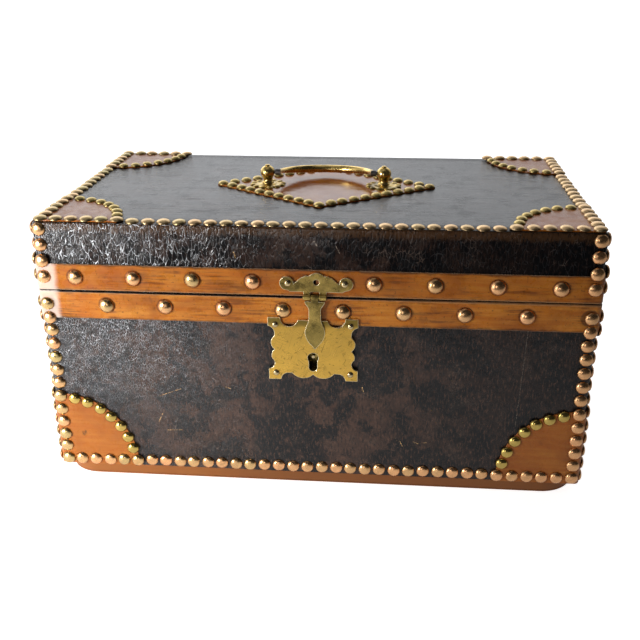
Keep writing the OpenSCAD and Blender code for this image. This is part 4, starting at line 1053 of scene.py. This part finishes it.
class DOCUMENTBOX_OT_nails(bpy.types.Operator):
    """Set the rows, columns, arcs and diamond of domed nails by hand, each a little astray"""

    bl_idname = "document_box.nails"
    bl_label = "Domed nails"

    def execute(self, context):
        n, s = settings().nails, settings().hide
        reach = {0: HALF_WIDTH - n.row_inset, 1: HALF_DEPTH - n.row_inset}
        steps = {k: round(2 * reach[k] / n.pitch) for k in reach}
        bottom_z = BODY_LOW.z + n.head / 2
        body_band_z = SEAM_Z - n.band_offset
        lid_band_z = LID_LOW.z + n.band_offset
        top_z = TOP_Z - n.row_inset

        def patch_lift(gap):
            return s.patch if gap < n.patch_reach + n.head / 2 else 0.0

        bottom = []
        for side in SIDES:
            half, count = reach[side % 2], steps[side % 2]
            for i in range(count + 1):
                u = -half + i * 2 * half / count
                bottom.append(on_wall(side, u, bottom_z, patch_lift(half - abs(u))))

        body_steps = round((body_band_z - bottom_z) / n.pitch)
        lid_steps = round((top_z - lid_band_z) / n.pitch)
        rise, fall = (body_band_z - bottom_z) / body_steps, (top_z - lid_band_z) / lid_steps
        columns, lid_columns = [], []
        for side in SIDES:
            for u in (-reach[side % 2], reach[side % 2]):
                for i in range(1, body_steps + (side != BACK)):
                    z = bottom_z + i * rise
                    lift = s.strap if z > STRAP_LOW.z - n.head / 2 else patch_lift(i * rise)
                    columns.append(on_wall(side, u, z, lift))
                for i in range(lid_steps + (side != BACK)):
                    z = top_z - i * fall
                    lift = s.strap if z < LID_STRAP_HIGH.z + n.head / 2 else 0.0
                    lid_columns.append(on_wall(side, u, z, lift))

        body_band, lid_band = [], []
        for side in SIDES:
            for k in range(-BAND_COUNT, BAND_COUNT + 1):
                for row, z, shifted in (
                    (body_band, body_band_z, side % 2 == 0), (lid_band, lid_band_z, side % 2 == 1),
                ):
                    u = (k + (0.5 if shifted else 0)) * n.band_pitch
                    under_hasp = row is lid_band and side == FRONT and abs(u) <= n.band_pitch / 2
                    if abs(u) < reach[side % 2] - n.band_pitch / 3 and not under_hasp:
                        row.append(on_wall(side, u, z, s.strap))

        arcs, top_arcs = [], []
        for i in range(1, n.arc_steps):
            angle = math.radians(i * 90 / n.arc_steps)
            across, up = n.arc * math.cos(angle), n.arc * math.sin(angle)
            for side in SIDES:
                u = reach[side % 2] - across
                arcs += [on_wall(side, sign * u, bottom_z + up, s.patch) for sign in (-1, 1)]
            x, y = reach[0] - across, reach[1] - up
            top_arcs += [on_top(x * right, y * back, s.patch) for right in (-1, 1) for back in (-1, 1)]

        step_x, step_y = 2 * reach[0] / steps[0], 2 * reach[1] / steps[1]
        top = []
        for i in range(steps[0] + 1):
            x = -reach[0] + i * step_x
            top.append(on_top(x, -reach[1], patch_lift(reach[0] - abs(x))))
        for sign in (-1, 1):
            for i in range(1, steps[1] + 1):
                y = -reach[1] + i * step_y
                top.append(on_top(sign * reach[0], y, patch_lift(reach[1] - abs(y))))
            for i in range(1, int(n.patch_reach / step_x) + 1):
                top.append(on_top(sign * (reach[0] - i * step_x), reach[1], s.patch))

        diamond = []
        for sign in (-1, 1):
            width, depth = sign * n.diamond_width, sign * n.diamond_depth
            for i in range(n.diamond_steps):
                share = i / n.diamond_steps
                diamond.append(on_top(width * (1 - share), depth * share, s.patch))
                diamond.append(on_top(width * share, -depth * (1 - share), s.patch))

        hand = random.Random(SEED)
        edge = dome("edge_dome", n.head, n.rise)
        wide = dome("strap_dome", n.band_head, n.band_rise)
        accent = dome("accent_dome", n.accent_head, n.accent_rise)
        small = dome("small_accent_dome", n.top_accent_head, n.accent_rise)
        for node, model, places, body, finish in (
            ("bottom_row_nails", edge, bottom, "box", "nail_copper"),
            ("body_column_nails", edge, columns, "box", "nail_copper"),
            ("body_band_nails", wide, body_band, "box", "nail_copper"),
            ("body_arc_nails", accent, arcs, "box", "nail_gold"),
            ("top_row_nails", edge, top, "lid", "top_nail_copper"),
            ("lid_column_nails", edge, lid_columns, "lid", "nail_copper"),
            ("lid_band_nails", wide, lid_band, "lid", "nail_copper"),
            ("top_arc_nails", small, top_arcs, "lid", "top_nail_gold"),
            ("diamond_nails", small, diamond, "lid", "top_nail_gold"),
        ):
            set_places = [set_by_hand(place, hand) for place in places]
            casts = [hand.random() * (CAST_MIDDLE - CAST_FALL * place.translation.x) for place in places]
            heads = copies(node.replace("nails", "domes"), model, set_places, casts)
            dress(heads, body, node, finish)
        for model in (edge, wide, accent, small):
            bpy.data.objects.remove(model)
        return {"FINISHED"}


class DOCUMENTBOX_OT_lock(bpy.types.Operator):
    """Make the scalloped lock plate and its small nails"""

    bl_idname = "document_box.lock"
    bl_label = "Lock plate"

    def execute(self, context):
        n = settings().nails
        plate = from_frame("scalloped_plate", "lock_plate")
        soften(plate, PLATE_ROUND, 50)
        dress(plate, "box", "lock_plate", "lock_brass")
        worn_rim(plate)
        low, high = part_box("lock_plate_nails")
        r = n.plate_head / 2
        spots = [(x, z) for x in (low[0] + r, high[0] - r) for z in (low[2] + r, high[2] - r)]
        out = -HALF_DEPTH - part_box("lock_plate")[0][1]
        small_nails(
            "plate_domes", "lock_plate_nails", "box", n.plate_head, n.plate_rise, spots, out)
        return {"FINISHED"}


class DOCUMENTBOX_OT_hasp(bpy.types.Operator):
    """Make the hasp's crested leaf, its tongue and its two nails"""

    bl_idname = "document_box.hasp"
    bl_label = "Hasp"

    def execute(self, context):
        n = settings().nails
        for name, node, body in (
            ("crested_leaf", "hasp_leaf", "lid"), ("waisted_tongue", "hasp_tongue", "hasp"),
        ):
            piece = from_frame(name, node)
            soften(piece, PLATE_ROUND, 50)
            dress(piece, body, node, "hasp_brass")
            worn_rim(piece)
        low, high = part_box("hasp_nails")
        r = n.hasp_head / 2
        spots = [(x, (low[2] + high[2]) / 2) for x in (low[0] + r, high[0] - r)]
        out = -HALF_DEPTH - (STRAP_LOW.y - LEAF)
        small_nails("hasp_domes", "hasp_nails", "lid", n.hasp_head, n.hasp_rise, spots, out)
        return {"FINISHED"}


class DOCUMENTBOX_OT_handle(bpy.types.Operator):
    """Turn the posts, bead the rosettes and draw the swelling bail"""

    bl_idname = "document_box.handle"
    bl_label = "Handle"

    def execute(self, context):
        s = settings().handle
        seat = settings().hide.patch
        r, half_ball = s.ball / 2, s.ball_height / 2
        profile = [POST_END] + [(radius, seat + ROSETTE_RISE + height) for radius, height in POST_FOOT]
        for k in range(BALL_STEPS):
            angle = math.radians(BALL_FROM + k * BALL_STEP)
            radius = r - half_ball + half_ball * math.cos(angle)
            profile.append((radius, s.pivot + half_ball * math.sin(angle)))
        profile += [(radius, s.pivot + half_ball + height) for radius, height in POST_TIP]
        dish = [(s.rosette, 0.0), (s.rosette, 0.0005), (s.rosette - 0.0006, 0.0008), *ROSETTE_BOSS]
        rosettes = []
        for sign, node in ((-1, "left_post"), (1, "right_post")):
            x = sign * s.span / 2
            post = turned(node + "_turning", profile, sides=32, place=(x, 0, TOP_Z))
            pivot_z = TOP_Z + s.pivot
            drill(post, (x, 0, pivot_z), (x - sign * r * 1.2, 0, pivot_z), s.pivot_hole, sides=20)
            smooth_over(post, 50)
            dress(post, "lid", node, "handle_brass")
            rosettes.append(turned("rosette", dish, sides=48, place=(x, 0, TOP_Z + seat)))
            bead = turned("bead", BEAD, sides=12)
            places = []
            for k in range(s.petals):
                turn = Matrix.Rotation((k + 0.5) * 2 * math.pi / s.petals, 4, "Z")
                places.append(
                    Matrix.Translation((x, 0, TOP_Z + seat)) @ turn @ Matrix.Translation((s.rosette, 0, 0)))
            rosettes.append(copies("beads", bead, places))
            bpy.data.objects.remove(bead)
        dress(joined("beaded_rosettes", rosettes), "lid", "rosettes", "hasp_brass")
        self.bail(s)
        return {"FINISHED"}

    def bail(self, s):
        """A bar that swells to its grip, swept along a half ring that lies back from the pivots."""
        rest = math.asin((s.pivot - s.rest_height) / s.reach)
        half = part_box("handle_bail")[1][0] - s.end
        activate(None)
        bpy.ops.curve.primitive_bezier_curve_add()
        bail = bpy.context.object
        bail.data.splines.clear()
        spline = bail.data.splines.new("POLY")
        spline.points.add(BAIL_STEPS)
        for i, point in enumerate(spline.points):
            angle = math.pi * i / BAIL_STEPS
            reach = s.reach * math.sin(angle)
            point.co = (
                -half * math.cos(angle), reach * math.cos(rest), TOP_Z + s.pivot - reach * math.sin(rest), 1)
            swell = (1 - math.cos(math.pi * math.sin(angle) ** 1.3)) / 2
            point.radius = (s.end + (s.grip - s.end) * swell) / s.grip
        bail.data.bevel_depth = s.grip
        bail.data.bevel_resolution = 6
        bail.data.use_fill_caps = True
        activate(bail)
        bpy.ops.object.convert(target="MESH")
        bail = settled("swelling_bail")
        smooth_over(bail, 50)
        dress(bail, "handle", "handle_bail", "handle_brass")


class DOCUMENTBOX_OT_hardware(bpy.types.Operator):
    """Give the boards, hinges, lock works and other frame solids their finishes"""

    bl_idname = "document_box.hardware"
    bl_label = "Boards and works"

    def execute(self, context):
        finishes = {
            "wood_x": (
                "front_board", "back_board", "base_board", "lid_top_board", "lid_front_rail",
                "lid_back_rail"),
            "wood_y": ("left_board", "right_board", "lid_left_rail", "lid_right_rail"),
            "hasp_brass": (
                "body_hinge_leaves", "lid_hinge_leaves", "body_hinge_screws", "lid_hinge_screws", "lock_bolt",
                "hasp_pin", "hasp_staple", "post_washers", "post_nuts", "hinge_pins", "lock_case"),
            "nail_steel": ("drill_pin",),
            "works_iron": ("handle_pivots", "lock_spring"),
        }
        for finish, nodes in finishes.items():
            for node in nodes:
                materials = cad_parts[node].data.materials
                materials.clear()
                materials.append(bpy.data.materials[finish])
        return {"FINISHED"}


class DOCUMENTBOX_OT_stage(bpy.types.Operator):
    """Set the pale floor, the soft lights and the camera"""

    bl_idname = "document_box.stage"
    bl_label = "Stage"

    def execute(self, context):
        s = settings().stage
        context.scene.view_settings.view_transform = "Standard"
        self.paper(s)
        self.room(context, s)
        self.lamp("window", (-0.6, -0.58, 0.18), (-0.3, -0.1, 0.12), s.window, (0.24, 0.3), 58)
        self.lamp("far_window", (-0.2, -1.2, 0.2), (0, -0.1, 0.1), s.far_window, (0.2, 0.3))
        self.lamp("ceiling", (-0.2, -0.1, 1.6), (0, 0, 0.1), s.ceiling, (1.2, 1.2))
        ahead = Vector(
            (math.sin(s.yaw) * math.cos(s.pitch), math.cos(s.yaw) * math.cos(s.pitch), -math.sin(s.pitch)))
        level = Vector((math.cos(s.yaw), -math.sin(s.yaw), 0))
        down = ahead.cross(level)
        right = math.cos(s.roll) * level + math.sin(s.roll) * down
        foot = -math.sin(s.roll) * level + math.cos(s.roll) * down
        camera = bpy.data.objects.new("camera", bpy.data.cameras.new("camera"))
        context.collection.objects.link(camera)
        camera.data.sensor_width = 36.0
        camera.data.lens = s.lens
        camera.data.clip_start = 0.01
        camera.matrix_world = Matrix.Translation(s.eye) @ Matrix((right, -foot, -ahead)).transposed().to_4x4()
        context.scene.camera = camera
        return {"FINISHED"}

    def paper(self, s):
        """A floor of pale paper, lit by itself near the box"""
        activate(None)
        bpy.ops.mesh.primitive_plane_add(size=40, location=(0, 0, 0))
        g, place = new_material("floor_paper")
        seen = g.add("LightPath").outputs["Is Camera Ray"]
        x, y, z = g.xyz(place)
        near = g.times(g.span(y, -0.46, -0.34), g.span(x, 0.4, -0.15, 0.3, 1.0))
        paper = g.mix(near, (0.06, 0.06, 0.06, 1), s.floor)
        glow = g.mix(g.times(near, s.bounce), (0, 0, 0, 1), (1, 1, 1, 1))
        g.surface(
            Base_Color=g.mix(seen, paper, s.floor), Roughness=0.8,
            Emission_Color=g.mix(seen, glow, (s.glow, s.glow, s.glow, 1)), Emission_Strength=1.0)
        floor = settled("floor")
        floor.data.materials.append(bpy.data.materials["floor_paper"])

    def room(self, context, s):
        """A dim room whose walls behind and at the left are pale"""
        world = bpy.data.worlds.new("studio")
        world.use_nodes = True
        g = Graph(world.node_tree)
        x, y, z = g.xyz(g.add("TexCoord").outputs["Generated"])
        low_sky = g.times(g.span(z, -0.1, 0.1), g.span(z, 0.95, 0.55))
        rising = g.span(z, 0.14, 0.34, 0.4, 1.0)
        behind = g.times(g.span(y, 0.15, 0.75), low_sky, rising, g.span(x, 0.75, -0.5, 0.5, 1.35))
        left = g.times(g.span(x, -0.35, -0.9), low_sky)
        light = g.plus(g.plus(g.times(behind, s.behind), g.times(left, s.left)), s.dim)
        seen = g.add("LightPath").outputs["Is Camera Ray"]
        background = world.node_tree.nodes["Background"]
        g.feed(background.inputs, {"Color": (0.95, 0.97, 1.0, 1), "Strength": g.pick(seen, light, 1.05)})
        context.scene.world = world

    def lamp(self, name, place, target, power, size, spread=180):
        """A soft rectangle of light at a place, turned to its target, with its spread in degrees"""
        data = bpy.data.lights.new(name, "AREA")
        data.shape = "RECTANGLE"
        data.size, data.size_y = size
        data.energy = power
        data.spread = math.radians(spread)
        lamp = bpy.data.objects.new(name, data)
        lamp.location = place
        lamp.rotation_euler = (Vector(target) - Vector(place)).to_track_quat("-Z", "Y").to_euler()
        bpy.context.collection.objects.link(lamp)


STEPS = (
    DOCUMENTBOX_OT_finishes, DOCUMENTBOX_OT_hides, DOCUMENTBOX_OT_straps, DOCUMENTBOX_OT_patches,
    DOCUMENTBOX_OT_base, DOCUMENTBOX_OT_linings, DOCUMENTBOX_OT_nails, DOCUMENTBOX_OT_lock,
    DOCUMENTBOX_OT_hasp, DOCUMENTBOX_OT_handle, DOCUMENTBOX_OT_hardware, DOCUMENTBOX_OT_stage,
)


class DOCUMENTBOX_PT_panel(bpy.types.Panel):
    bl_label = "Document Box"
    bl_space_type = "VIEW_3D"
    bl_region_type = "UI"
    bl_category = "Document Box"

    def draw(self, context):
        for step in STEPS:
            self.layout.operator(step.bl_idname)


SETTINGS = (HideSizes, NailSizes, HandleSizes, FinishColours, StageSettings, BoxSettings)
CLASSES = SETTINGS + STEPS + (DOCUMENTBOX_PT_panel,)


def register():
    for item in CLASSES:
        bpy.utils.register_class(item)
    bpy.types.Scene.document_box = PointerProperty(type=BoxSettings)


def unregister():
    del bpy.types.Scene.document_box
    for item in reversed(CLASSES):
        bpy.utils.unregister_class(item)


def main():
    register()
    bpy.ops.document_box.finishes()
    bpy.ops.document_box.hides()
    bpy.ops.document_box.straps()
    bpy.ops.document_box.patches()
    bpy.ops.document_box.base()
    bpy.ops.document_box.linings()
    bpy.ops.document_box.nails()
    bpy.ops.document_box.lock()
    bpy.ops.document_box.hasp()
    bpy.ops.document_box.handle()
    bpy.ops.document_box.hardware()
    bpy.ops.document_box.stage()
    activate(None)


if __name__ == "__main__":
    main()
